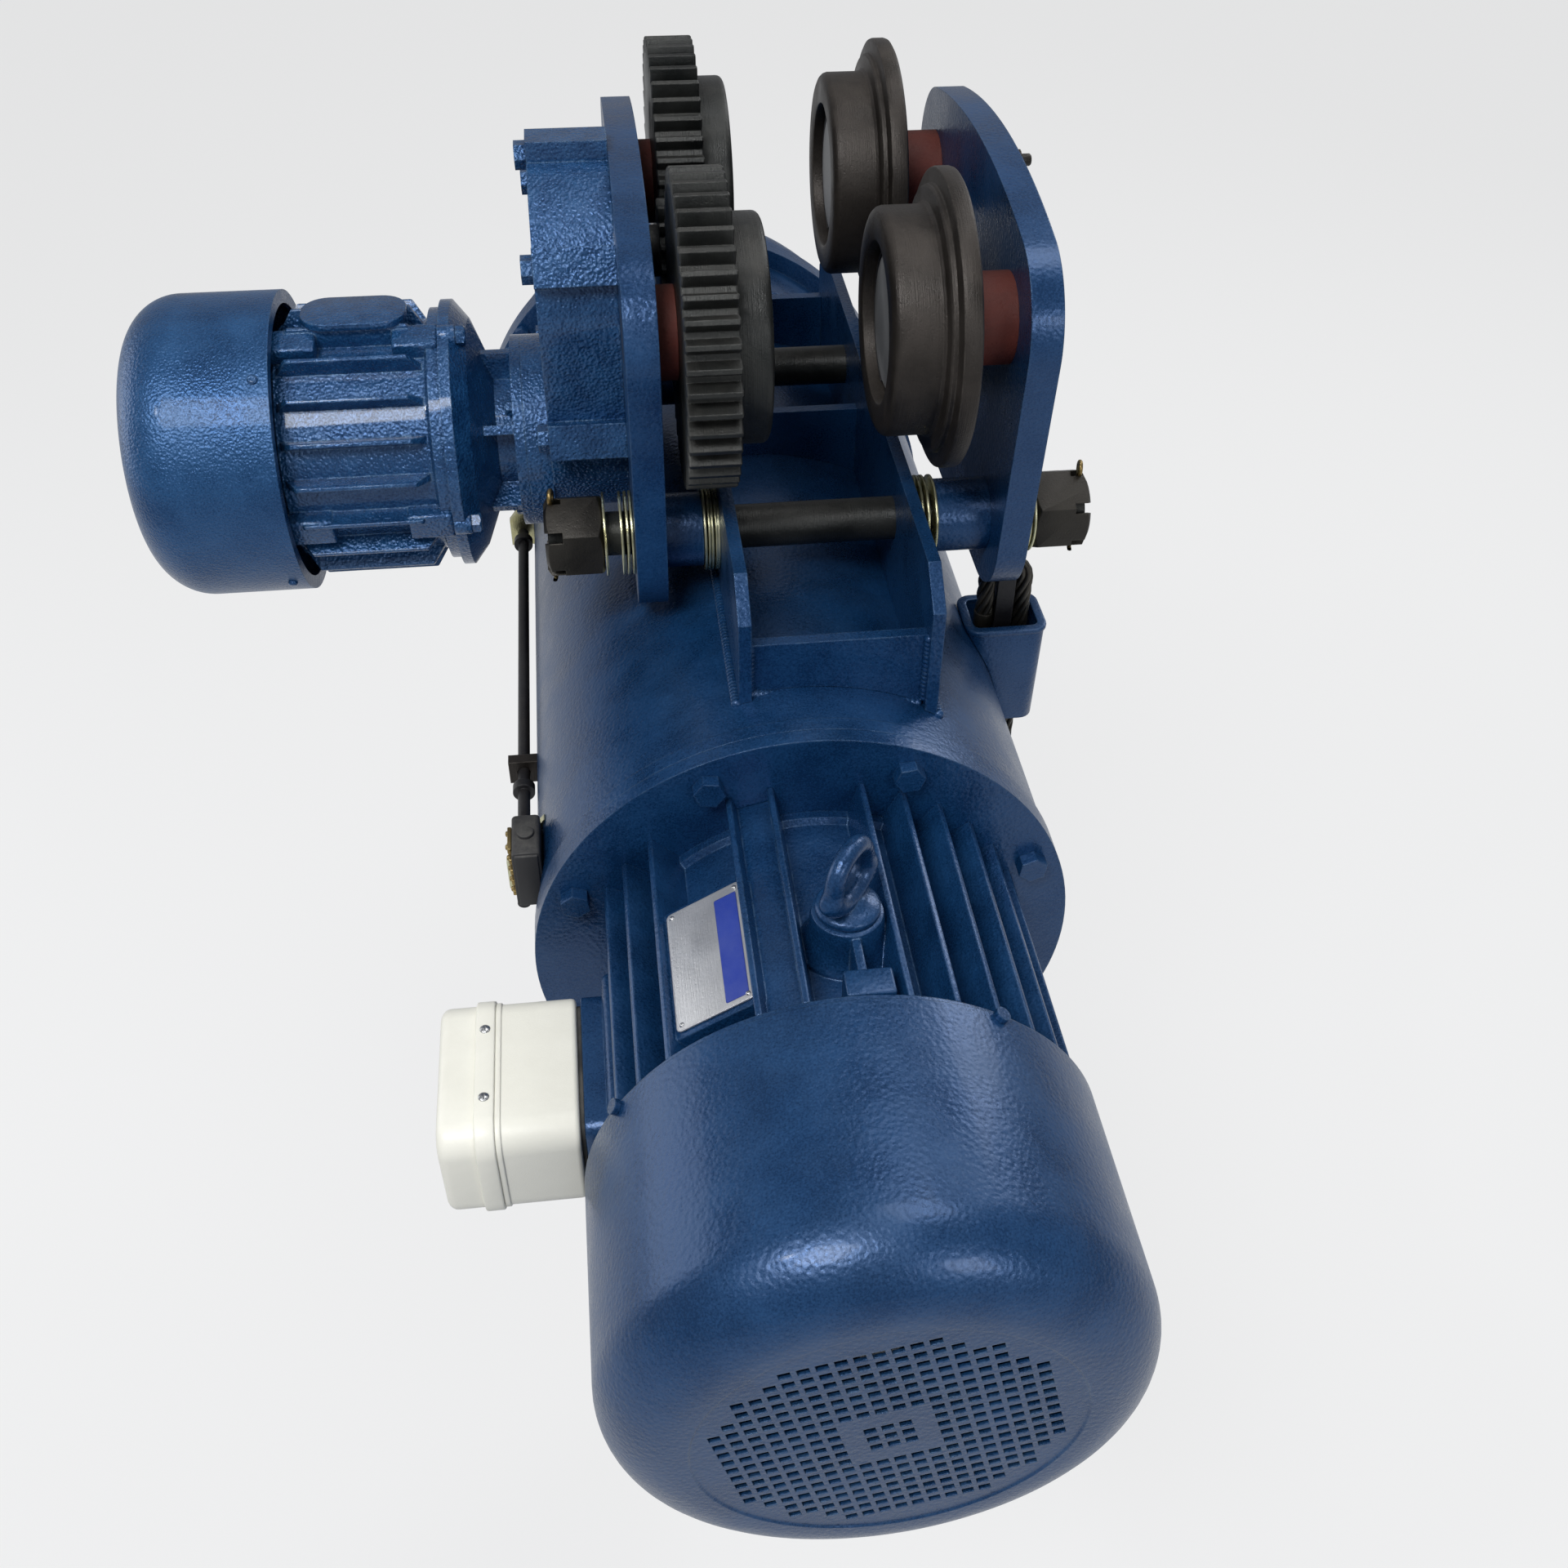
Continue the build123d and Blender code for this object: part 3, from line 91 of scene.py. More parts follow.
def makeCamera():
    look = Vector(cameraSetup["look"]).normalized()
    right = look.cross(Vector((0, 0, 1))).normalized()
    up = right.cross(look)
    turned = Matrix((right, up, -look)).transposed().to_4x4()
    turned = turned @ Matrix.Rotation(math.radians(cameraSetup["roll"]), 4, "Z")
    bpy.ops.object.camera_add(location=cameraSetup["place"])
    camera = bpy.context.object
    camera.rotation_euler = turned.to_euler()
    camera.data.lens = cameraSetup["lens"]
    camera.data.sensor_width = 36
    camera.data.clip_start = 0.02
    bpy.context.scene.camera = camera


def makeStudio():
    low = boundsAtLoad[0].z - studio["floorDrop"]
    bpy.ops.mesh.primitive_plane_add(size=studio["floorSize"], location=(0, 0, low))
    floor = bpy.context.object
    floor.name = "studioFloor"
    material = bpy.data.materials.new("paleFloor")
    material.use_nodes = True
    tree = material.node_tree
    shader = tree.nodes["Principled BSDF"]
    shader.inputs["Base Color"].default_value = studio["floorColour"]
    shader.inputs["Roughness"].default_value = 0.9
    # seen by the camera or in a shine, the floor is mostly its own pale colour
    glow = tree.nodes.new("ShaderNodeEmission")
    glow.inputs["Color"].default_value = (1, 1, 1, 1)
    mix = tree.nodes.new("ShaderNodeMixShader")
    path = tree.nodes.new("ShaderNodeLightPath")
    either = tree.nodes.new("ShaderNodeMath")
    either.operation = "MAXIMUM"
    share = tree.nodes.new("ShaderNodeMath")
    share.operation = "MULTIPLY"
    share.inputs[1].default_value = 0.70
    link = tree.links.new
    shine = tree.nodes.new("ShaderNodeMath")
    shine.operation = "MULTIPLY"
    shine.inputs[1].default_value = 0.5
    link(path.outputs["Is Camera Ray"], either.inputs[0])
    link(path.outputs["Is Glossy Ray"], shine.inputs[0])
    link(shine.outputs[0], either.inputs[1])
    link(either.outputs[0], share.inputs[0])
    link(share.outputs[0], mix.inputs["Fac"])
    link(shader.outputs[0], mix.inputs[1])
    link(glow.outputs[0], mix.inputs[2])
    # from below the floor is clear, so a lowered hook doesn't hide the hoist
    below = tree.nodes.new("ShaderNodeNewGeometry")
    clear = tree.nodes.new("ShaderNodeBsdfTransparent")
    oneSided = tree.nodes.new("ShaderNodeMixShader")
    link(below.outputs["Backfacing"], oneSided.inputs["Fac"])
    link(mix.outputs[0], oneSided.inputs[1])
    link(clear.outputs[0], oneSided.inputs[2])
    link(oneSided.outputs[0], tree.nodes["Material Output"].inputs["Surface"])
    floor.data.materials.append(material)
    for name, place, target, size, watts in lamps:
        bpy.ops.object.light_add(type="AREA", location=place)
        lamp = bpy.context.object
        lamp.name = name
        lamp.rotation_euler = aimedRotation(place, target)
        lamp.data.size = size
        lamp.data.energy = watts
    world = bpy.data.worlds.new("softDaylight")
    world.use_nodes = True
    sky = world.node_tree.nodes["Background"]
    sky.inputs["Color"].default_value = studio["worldColour"]
    path = world.node_tree.nodes.new("ShaderNodeLightPath")
    lift = world.node_tree.nodes.new("ShaderNodeMapRange")
    lift.inputs["To Min"].default_value = studio["worldStrength"]
    lift.inputs["To Max"].default_value = 1.0
    world.node_tree.links.new(path.outputs["Is Camera Ray"], lift.inputs["Value"])
    world.node_tree.links.new(lift.outputs[0], sky.inputs["Strength"])
    bpy.context.scene.world = world
    bpy.context.scene.view_settings.view_transform = "Standard"


makeCamera()
makeStudio()
print("camera, floor and lamps made")


# ---------- surface effects, each a node group
def newGroup(name, inputs, outputs):
    group = bpy.data.node_groups.new(name, "ShaderNodeTree")
    for label, value in inputs:
        socket = group.interface.new_socket(label, in_out="INPUT", socket_type="NodeSocketFloat")
        socket.default_value = value
    for label in outputs:
        group.interface.new_socket(label, in_out="OUTPUT", socket_type="NodeSocketFloat")
    start = group.nodes.new("NodeGroupInput")
    end = group.nodes.new("NodeGroupOutput")
    return group, start, end


def addNode(tree, kind, values=(), **settings):
    node = tree.nodes.new("ShaderNode" + kind)
    for key, value in settings.items():
        setattr(node, key, value)
    for key, value in dict(values).items():
        node.inputs[key].default_value = value
    return node


def addMath(tree, operation, first, second):
    node = tree.nodes.new("ShaderNodeMath")
    node.operation = operation
    for slot, source in ((0, first), (1, second)):
        if isinstance(source, (int, float)):
            node.inputs[slot].default_value = source
        else:
            tree.links.new(source, node.inputs[slot])
    return node.outputs[0]


def addRange(tree, source, low, high, toLow=0.0, toHigh=1.0):
    node = addNode(tree, "MapRange", {"From Min": low, "From Max": high, "To Min": toLow, "To Max": toHigh})
    tree.links.new(source, node.inputs["Value"])
    return node.outputs[0]


# edges, found where the bevelled normal leaves the flat one, get a lighter colour in broken patches: partly real edge
# wear, partly a painted highlight along edges and rib tops
def makeEdgeWearAndHighlightGroup():
    inputs = (("Radius", 0.0015), ("Break Scale", 90.0), ("Amount", 0.5))
    group, start, end = newGroup("edgeWearAndHighlightGroup", inputs, ("Mask",))
    link = group.links.new
    rounded = addNode(group, "Bevel", samples=4)
    link(start.outputs["Radius"], rounded.inputs["Radius"])
    flat = addNode(group, "NewGeometry")
    alike = addNode(group, "VectorMath", operation="DOT_PRODUCT")
    link(rounded.outputs[0], alike.inputs[0])
    link(flat.outputs["Normal"], alike.inputs[1])
    edge = addRange(group, alike.outputs["Value"], 0.995, 0.86)
    place = addNode(group, "TexCoord")
    noise = addNode(group, "TexNoise", {"Detail": 5.0, "Roughness": 0.7})
    link(place.outputs["Object"], noise.inputs["Vector"])
    link(start.outputs["Break Scale"], noise.inputs["Scale"])
    patch = addRange(group, noise.outputs["Fac"], 0.42, 0.62)
    wornAndHighlitEdge = addMath(group, "MULTIPLY", edge, patch)
    link(addMath(group, "MULTIPLY", wornAndHighlitEdge, start.outputs["Amount"]), end.inputs["Mask"])
    return group


def makeHammeredGroup():
    inputs = (("Dimple Scale", 260.0), ("Sag Scale", 32.0), ("Speckle Scale", 520.0))
    group, start, end = newGroup("hammeredPaint", inputs, ("Height", "Shade"))
    link = group.links.new
    place = addNode(group, "TexCoord")
    dimple = addNode(group, "TexVoronoi", feature="SMOOTH_F1")
    dimple.inputs["Smoothness"].default_value = 0.8
    sag = addNode(group, "TexNoise", {"Detail": 2.0, "Roughness": 0.5})
    speckle = addNode(group, "TexNoise", {"Detail": 3.0, "Roughness": 0.6})
    for node, label in ((dimple, "Dimple Scale"), (sag, "Sag Scale"), (speckle, "Speckle Scale")):
        link(place.outputs["Object"], node.inputs["Vector"])
        link(start.outputs[label], node.inputs["Scale"])
    high = addMath(group, "MULTIPLY", dimple.outputs["Distance"], 0.6)
    high = addMath(group, "ADD", high, addMath(group, "MULTIPLY", sag.outputs["Fac"], 0.5))
    high = addMath(group, "ADD", high, addMath(group, "MULTIPLY", speckle.outputs["Fac"], 0.25))
    link(high, end.inputs["Height"])
    mixed = addMath(group, "MULTIPLY", speckle.outputs["Fac"], 0.6)
    mixed = addMath(group, "ADD", mixed, addMath(group, "MULTIPLY", sag.outputs["Fac"], 0.4))
    link(mixed, end.inputs["Shade"])
    return group


def makeDustGroup():
    inputs = (("Patch Scale", 14.0), ("Amount", 0.3))
    group, start, end = newGroup("settledDust", inputs, ("Mask",))
    link = group.links.new
    place = addNode(group, "TexCoord")
    split = addNode(group, "SeparateXYZ")
    link(place.outputs["Normal"], split.inputs[0])
    upward = addRange(group, split.outputs["Z"], 0.35, 1.0)
    noise = addNode(group, "TexNoise", {"Detail": 7.0, "Roughness": 0.75})
    link(place.outputs["Object"], noise.inputs["Vector"])
    link(start.outputs["Patch Scale"], noise.inputs["Scale"])
    patch = addRange(group, noise.outputs["Fac"], 0.38, 0.72)
    mask = addMath(group, "MULTIPLY", upward, patch)
    link(addMath(group, "MULTIPLY", mask, start.outputs["Amount"]), end.inputs["Mask"])
    return group


def makeGrainGroup():
    inputs = (("Grain Scale", 420.0), ("Blotch Scale", 22.0), ("Pit Scale", 150.0))
    group, start, end = newGroup("castGrain", inputs, ("Height", "Blotch"))
    link = group.links.new
    place = addNode(group, "TexCoord")
    grain = addNode(group, "TexNoise", {"Detail": 6.0, "Roughness": 0.65})
    blotch = addNode(group, "TexNoise", {"Detail": 5.0, "Roughness": 0.6, "Distortion": 0.6})
    pit = addNode(group, "TexVoronoi")
    for node, label in ((grain, "Grain Scale"), (blotch, "Blotch Scale"), (pit, "Pit Scale")):
        link(place.outputs["Object"], node.inputs["Vector"])
        link(start.outputs[label], node.inputs["Scale"])
    hole = addRange(group, pit.outputs["Distance"], 0.0, 0.25, -0.5, 0.0)
    link(addMath(group, "ADD", grain.outputs["Fac"], hole), end.inputs["Height"])
    link(blotch.outputs["Fac"], end.inputs["Blotch"])
    return group


def makeTurnedGroup():
    inputs = (("Ring Scale", 900.0), ("Along X", 1.0), ("Along Y", 0.02), ("Along Z", 0.02))
    group, start, end = newGroup("turnedLines", inputs, ("Height",))
    link = group.links.new
    place = addNode(group, "TexCoord")
    stretch = addNode(group, "CombineXYZ")
    for label, axis in (("Along X", "X"), ("Along Y", "Y"), ("Along Z", "Z")):
        link(start.outputs[label], stretch.inputs[axis])
    scaled = addNode(group, "VectorMath", operation="MULTIPLY")
    link(place.outputs["Object"], scaled.inputs[0])
    link(stretch.outputs[0], scaled.inputs[1])
    noise = addNode(group, "TexNoise", {"Detail": 3.0, "Roughness": 0.7})
    link(scaled.outputs[0], noise.inputs["Vector"])
    link(start.outputs["Ring Scale"], noise.inputs["Scale"])
    link(noise.outputs["Fac"], end.inputs["Height"])
    return group


edgeWearAndHighlightGroup = makeEdgeWearAndHighlightGroup()
hammeredPaint = makeHammeredGroup()
settledDust = makeDustGroup()
castGrain = makeGrainGroup()
turnedLines = makeTurnedGroup()
print("surface effects made")


# ---------- materials
def startMaterial(name, shine):
    material = bpy.data.materials.new(name)
    material.use_nodes = True
    shader = material.node_tree.nodes["Principled BSDF"]
    for key, value in shine.items():
        shader.inputs[key].default_value = value
    return material, material.node_tree, shader


def placeGroup(tree, group, **values):
    node = tree.nodes.new("ShaderNodeGroup")
    node.node_tree = group
    for label, value in values.items():
        node.inputs[label.replace("_", " ")].default_value = value
    return node


def mixColours(tree, share, first, second):
    node = addNode(tree, "Mix", data_type="RGBA")
    node.inputs["Factor"].default_value = 0.5
    tree.links.new(share, node.inputs["Factor"])
    for label, source in (("A", first), ("B", second)):
        socket = [s for s in node.inputs if s.name == label and s.type == "RGBA"][0]
        if isinstance(source, tuple):
            socket.default_value = (*source, 1)
        else:
            tree.links.new(source, socket)
    return [s for s in node.outputs if s.type == "RGBA"][0]


def addBump(tree, shader, height, distance, strength=1.0, under=None):
    bump = addNode(tree, "Bump", {"Distance": distance, "Strength": strength})
    tree.links.new(height, bump.inputs["Height"])
    if under is not None:
        tree.links.new(under, bump.inputs["Normal"])
    tree.links.new(bump.outputs[0], shader.inputs["Normal"])
    return bump.outputs[0]


def softEdges(tree, radius):
    return addNode(tree, "Bevel", {"Radius": radius}, samples=4).outputs[0]


def enamel(name, look):
    material, tree, shader = startMaterial(name, {"Coat Roughness": look["coatRough"], "Coat Weight": look["coat"]})
    link = tree.links.new
    paint = placeGroup(tree, hammeredPaint, Dimple_Scale=look["dimple"], Sag_Scale=look["sag"], Speckle_Scale=look["speckle"])
    edgeWearAndHighlight = placeGroup(tree, edgeWearAndHighlightGroup, Radius=look["edgeWearAndHighlightRadius"], Break_Scale=70.0, Amount=look["wornAndHighlitEdge"])
    dust = placeGroup(tree, settledDust, Patch_Scale=16.0, Amount=look["dust"])
    shade = addRange(tree, paint.outputs["Shade"], 0.36, 0.64)
    colour = mixColours(tree, shade, look["deep"], look["light"])
    colour = mixColours(tree, dust.outputs["Mask"], colour, look["dustColour"])
    # lighter blue along the edges: partly edge wear, partly a painted highlight on edges and rib tops
    colour = mixColours(tree, edgeWearAndHighlight.outputs["Mask"], colour, look["edgeWearAndHighlightColour"])
    link(colour, shader.inputs["Base Color"])
    rough = addRange(tree, shade, 0.0, 1.0, look["rough"][0], look["rough"][1])
    rough = addMath(tree, "ADD", rough, addMath(tree, "MULTIPLY", dust.outputs["Mask"], 0.3))
    link(rough, shader.inputs["Roughness"])
    link(addRange(tree, paint.outputs["Shade"], 0.4, 0.62, look["flake"], look["flake"] * 0.4), shader.inputs["Metallic"])
    addBump(tree, shader, paint.outputs["Height"], look["depth"], 1.0, softEdges(tree, look["softEdge"]))
    return material


def darkMetal(name, look):
    material, tree, shader = startMaterial(name, {})
    link = tree.links.new
    grain = placeGroup(tree, castGrain, Grain_Scale=look["grain"], Blotch_Scale=look["blotch"], Pit_Scale=look["pit"])
    edgeWearAndHighlight = placeGroup(tree, edgeWearAndHighlightGroup, Radius=look["edgeWearAndHighlightRadius"], Break_Scale=110.0, Amount=look["wornAndHighlitEdge"])
    dust = placeGroup(tree, settledDust, Patch_Scale=24.0, Amount=look["dust"])
    blotch = addRange(tree, grain.outputs["Blotch"], 0.35, 0.68)
    colour = mixColours(tree, blotch, look["deep"], look["light"])
    colour = mixColours(tree, dust.outputs["Mask"], colour, look["dustColour"])
    colour = mixColours(tree, edgeWearAndHighlight.outputs["Mask"], colour, look["edgeWearAndHighlightColour"])
    link(colour, shader.inputs["Base Color"])
    rough = addRange(tree, blotch, 0.0, 1.0, look["rough"][0], look["rough"][1])
    link(addMath(tree, "ADD", rough, addMath(tree, "MULTIPLY", dust.outputs["Mask"], 0.3)), shader.inputs["Roughness"])
    link(addRange(tree, dust.outputs["Mask"], 0.0, 1.0, look["metal"], 0.0), shader.inputs["Metallic"])
    height = addMath(tree, "MULTIPLY", grain.outputs["Height"], 1.0)
    if look.get("lines"):
        turned = placeGroup(tree, turnedLines, **look["lines"])
        height = addMath(tree, "ADD", height, addMath(tree, "MULTIPLY", turned.outputs["Height"], 1.2))
    addBump(tree, shader, height, look["depth"], 1.0, softEdges(tree, look["softEdge"]))
    return material


def moulded(name, look):
    material, tree, shader = startMaterial(name, {"Coat Weight": look["coat"], "Coat Roughness": 0.2})
    link = tree.links.new
    grain = placeGroup(tree, castGrain, Grain_Scale=look["grain"], Blotch_Scale=9.0, Pit_Scale=900.0)
    dust = placeGroup(tree, settledDust, Patch_Scale=30.0, Amount=look["dust"])
    blotch = addRange(tree, grain.outputs["Blotch"], 0.3, 0.7)
    colour = mixColours(tree, blotch, look["deep"], look["light"])
    colour = mixColours(tree, dust.outputs["Mask"], colour, look["dustColour"])
    link(colour, shader.inputs["Base Color"])
    link(addRange(tree, blotch, 0.0, 1.0, look["rough"][0], look["rough"][1]), shader.inputs["Roughness"])
    addBump(tree, shader, grain.outputs["Height"], look["depth"], 1.0, softEdges(tree, 0.0012))
    return material


blueLook = {
    "deep": (0.0052, 0.0370, 0.1150),
    "light": (0.0082, 0.0560, 0.1620),
    "dustColour": (0.060, 0.105, 0.170),
    # lighter blue for the edges: partly edge wear, partly a painted highlight
    "edgeWearAndHighlightColour": (0.080, 0.160, 0.270),
    "rough": (0.22, 0.40),
    "coat": 0.10,
    "coatRough": 0.12,
    "flake": 0.5,
    "dimple": 330.0,
    "sag": 26.0,
    "speckle": 760.0,
    "depth": 0.00045,
    "softEdge": 0.0012,
    "edgeWearAndHighlightRadius": 0.0022,
    "wornAndHighlitEdge": 0.5,
    "dust": 0.12,
}
speckledLook = {
    **blueLook,
    "deep": (0.0070, 0.0480, 0.1450),
    "light": (0.0160, 0.0890, 0.2320),
    "speckle": 1000.0,
    "dimple": 520.0,
    "flake": 0.6,
    "depth": 0.0009,
}
castBlueLook = {
    **blueLook,
    "deep": (0.0076, 0.0480, 0.1440),
    "light": (0.0150, 0.0840, 0.2220),
    "coat": 0.40,
    "coatRough": 0.07,
    "rough": (0.14, 0.28),
    "dimple": 430.0,
    "sag": 70.0,
    "depth": 0.0015,
    # the strong edge tint here is mostly a painted highlight on the rib tops and edges, besides some wear
    "wornAndHighlitEdge": 0.9,
}
wheelLook = {
    "deep": (0.022, 0.0185, 0.016),
    "light": (0.046, 0.039, 0.034),
    "dustColour": (0.13, 0.11, 0.09),
    "edgeWearAndHighlightColour": (0.20, 0.18, 0.16),
    "rough": (0.36, 0.55),
    "metal": 0.55,
    "grain": 480.0,
    "blotch": 20.0,
    "pit": 260.0,
    "depth": 0.00025,
    "softEdge": 0.0012,
    "edgeWearAndHighlightRadius": 0.0016,
    "wornAndHighlitEdge": 0.5,
    "dust": 0.18,
    "lines": {"Ring_Scale": 1100.0},
}
gearLook = {
    **wheelLook,
    "deep": (0.016, 0.018, 0.018),
    "light": (0.042, 0.044, 0.042),
    "edgeWearAndHighlightColour": (0.13, 0.13, 0.125),
    "rough": (0.30, 0.50),
}
blackLook = {
    **wheelLook,
    "deep": (0.012, 0.012, 0.014),
    "light": (0.032, 0.032, 0.035),
    "edgeWearAndHighlightColour": (0.12, 0.12, 0.12),
    "rough": (0.34, 0.5),
    "metal": 0.35,
    "lines": None,
}
zincLook = {
    **wheelLook,
    "deep": (0.46, 0.43, 0.22),
    "light": (0.72, 0.72, 0.50),
    "dustColour": (0.40, 0.38, 0.28),
    "edgeWearAndHighlightColour": (0.82, 0.84, 0.76),
    "rough": (0.22, 0.38),
    "metal": 0.95,
    "depth": 0.0001,
    "wornAndHighlitEdge": 0.8,
    "lines": {"Ring_Scale": 1500.0},
}
primerLook = {
    **wheelLook,
    "deep": (0.085, 0.014, 0.009),
    "light": (0.150, 0.028, 0.018),
    "dustColour": (0.14, 0.07, 0.05),
    "edgeWearAndHighlightColour": (0.22, 0.09, 0.06),
    "rough": (0.6, 0.75),
    "metal": 0.0,
    "depth": 0.0004,
    "lines": None,
}
turnedLook = {
    **wheelLook,
    "deep": (0.34, 0.335, 0.33),
    "light": (0.52, 0.52, 0.51),
    "dustColour": (0.25, 0.23, 0.20),
    "edgeWearAndHighlightColour": (0.72, 0.72, 0.72),
    "rough": (0.26, 0.42),
    "metal": 0.95,
    "depth": 0.00012,
}
ropeLook = {
    **wheelLook,
    "deep": (0.020, 0.019, 0.016),
    "light": (0.085, 0.078, 0.066),
    "edgeWearAndHighlightColour": (0.24, 0.23, 0.21),
    "rough": (0.28, 0.5),
    "metal": 0.7,
    "softEdge": 0.0003,
    "edgeWearAndHighlightRadius": 0.0006,
    "lines": None,
}
forgedLook = {
    **wheelLook,
    "deep": (0.018, 0.019, 0.021),
    "light": (0.046, 0.047, 0.050),
    "edgeWearAndHighlightColour": (0.17, 0.165, 0.16),
    "rough": (0.42, 0.62),
    "metal": 0.45,
    "grain": 180.0,
    "depth": 0.0009,
    "lines": None,
}
nutLook = {
    **wheelLook,
    "deep": (0.015, 0.0135, 0.011),
    "light": (0.034, 0.031, 0.026),
    "edgeWearAndHighlightColour": (0.12, 0.11, 0.09),
    "rough": (0.36, 0.52),
    "metal": 0.5,
    "lines": None,
}
brassLook = {
    **zincLook,
    "deep": (0.22, 0.15, 0.055),
    "light": (0.42, 0.31, 0.12),
    "edgeWearAndHighlightColour": (0.60, 0.50, 0.26),
    "rough": (0.30, 0.46),
}
chromeLook = {
    **turnedLook,
    "deep": (0.46, 0.47, 0.48),
    "light": (0.66, 0.67, 0.68),
    "rough": (0.14, 0.24),
}
fieldLook = {
    "deep": (0.010, 0.030, 0.26),
    "light": (0.016, 0.045, 0.33),
    "dustColour": (0.20, 0.24, 0.40),
    "rough": (0.26, 0.36),
    "coat": 0.3,
    "grain": 600.0,
    "depth": 0.00008,
    "dust": 0.2,
}
capLook = {
    **wheelLook,
    "deep": (0.22, 0.225, 0.23),
    "light": (0.34, 0.345, 0.35),
    "dustColour": (0.20, 0.19, 0.17),
    "edgeWearAndHighlightColour": (0.46, 0.46, 0.46),
    "rough": (0.42, 0.58),
    "metal": 0.6,
}
plateLook = {
    **turnedLook,
    "deep": (0.60, 0.61, 0.63),
    "light": (0.72, 0.73, 0.75),
    "rough": (0.30, 0.42),
    "metal": 0.8,
    "lines": {"Ring_Scale": 1300.0, "Along_X": 1.0, "Along_Y": 0.03, "Along_Z": 1.0},
}
ivoryLook = {
    "deep": (0.82, 0.81, 0.72),
    "light": (0.90, 0.89, 0.80),
    "dustColour": (0.62, 0.60, 0.52),
    "rough": (0.34, 0.46),
    "coat": 0.12,
    "grain": 700.0,
    "depth": 0.00012,
    "dust": 0.15,
}
rubberLook = {**ivoryLook, "deep": (0.02, 0.02, 0.02), "light": (0.035, 0.035, 0.035), "rough": (0.7, 0.85), "coat": 0.0}
switchLook = {**ivoryLook, "deep": (0.018, 0.018, 0.019), "light": (0.03, 0.03, 0.032), "rough": (0.45, 0.6), "coat": 0.0}

blueEnamel = enamel("blueEnamel", blueLook)
speckledEnamel = enamel("speckledEnamel", speckledLook)
castEnamel = enamel("castEnamel", castBlueLook)
wheelSteel = darkMetal("wheelSteel", wheelLook)
gearSteel = darkMetal("gearSteel", gearLook)
blackSteel = darkMetal("blackSteel", blackLook)
yellowZinc = darkMetal("yellowZinc", zincLook)
redPrimer = darkMetal("redPrimer", primerLook)
turnedSteel = darkMetal("turnedSteel", turnedLook)
greasedRope = darkMetal("greasedRope", ropeLook)
forgedSteel = darkMetal("forgedSteel", forgedLook)
platedSheet = darkMetal("platedSheet", plateLook)
nutSteel = darkMetal("nutSteel", nutLook)
brassYellow = darkMetal("brassYellow", brassLook)
chromeSteel = darkMetal("chromeSteel", chromeLook)
capGrey = darkMetal("capGrey", capLook)
plateBlue = moulded("plateBlue", fieldLook)
ivoryPlastic = moulded("ivoryPlastic", ivoryLook)
blackRubber = moulded("blackRubber", rubberLook)
switchPlastic = moulded("switchPlastic", switchLook)

finishOfNode = {
    blueEnamel: (
        "casing hanger_plates hanger_cross_plates motor_front_shield motor_frame motor_rear_shield eye_bolt fan_cover "
        "gearbox_housing gearbox_cover wedge_socket drive_side_plate idler_side_plate spacer_bushes block_cheeks "
        "fan_cover_screws housing_bolts"
    ),
    castEnamel: "travel_gear_case travel_motor_bell travel_motor_frame travel_drive_bolts",
    speckledEnamel: "travel_fan_cover",
    gearSteel: "geared_wheel_front geared_wheel_rear travel_pinion suspension_shafts",
    wheelSteel: "idler_wheel_front idler_wheel_rear sheave rope_guide rope_drum wheel_axles",
    blackSteel: "castle_nuts cooling_fan limit_rod sheave_axle rope_wedge",
    yellowZinc: "spacer_washers limit_brackets split_pins hook_latch",
    redPrimer: "axle_hubs",
    turnedSteel: "motor_rotor drive_shaft travel_rotor motor_bearings stator_core hook_nut crosshead",
    greasedRope: "rope_wraps rope_dead_end rope_fall_live rope_fall_dead rope_under_sheave",
    ivoryPlastic: "junction_box junction_box_cover",
    blackRubber: "box_gasket",
    switchPlastic: "limit_switch",
    platedSheet: "rating_plate",
    forgedSteel: "hook",
}
for finish, names in finishOfNode.items():
    for name in names.split():
        slots = nodes[name].data.materials
        if len(slots) == 0:
            slots.append(finish)
        for index in range(len(slots)):
            slots[index] = finish
print("materials made and given to", sum(len(n.split()) for n in finishOfNode.values()), "nodes")

# ---------- ways of shaping, used by all pieces
def deselectAll():
    active = bpy.context.view_layer.objects.active
    if active and active.mode != "OBJECT":
        bpy.ops.object.mode_set(mode="OBJECT")
    bpy.ops.object.select_all(action="DESELECT")


def makeActive(*pieces):
    deselectAll()
    for piece in pieces:
        piece.select_set(True)
    bpy.context.view_layer.objects.active = pieces[0]


def applyPlace(piece):
    makeActive(piece)
    bpy.ops.object.transform_apply(location=True, rotation=True, scale=True)


def applyModifiers(piece):
    makeActive(piece)
    for modifier in list(piece.modifiers):
        bpy.ops.object.modifier_apply(modifier=modifier.name)


axisTurns = {"X": (0, math.pi / 2, 0), "Y": (math.pi / 2, 0, 0), "Z": (0, 0, 0)}


def addRound(axis, middle, radius, length, sides=48, endRadius=None, filled="NGON"):
    deselectAll()
    top = radius if endRadius is None else endRadius
    bpy.ops.mesh.primitive_cone_add(
        vertices=sides, radius1=radius, radius2=top, depth=length, end_fill_type=filled, location=middle, rotation=axisTurns[axis]
    )
    piece = bpy.context.object
    applyPlace(piece)
    return piece


def addBlock(middle, size, turn=(0, 0, 0)):
    deselectAll()
    bpy.ops.mesh.primitive_cube_add(size=1, location=middle, rotation=turn, scale=size)
    piece = bpy.context.object
    applyPlace(piece)
    return piece


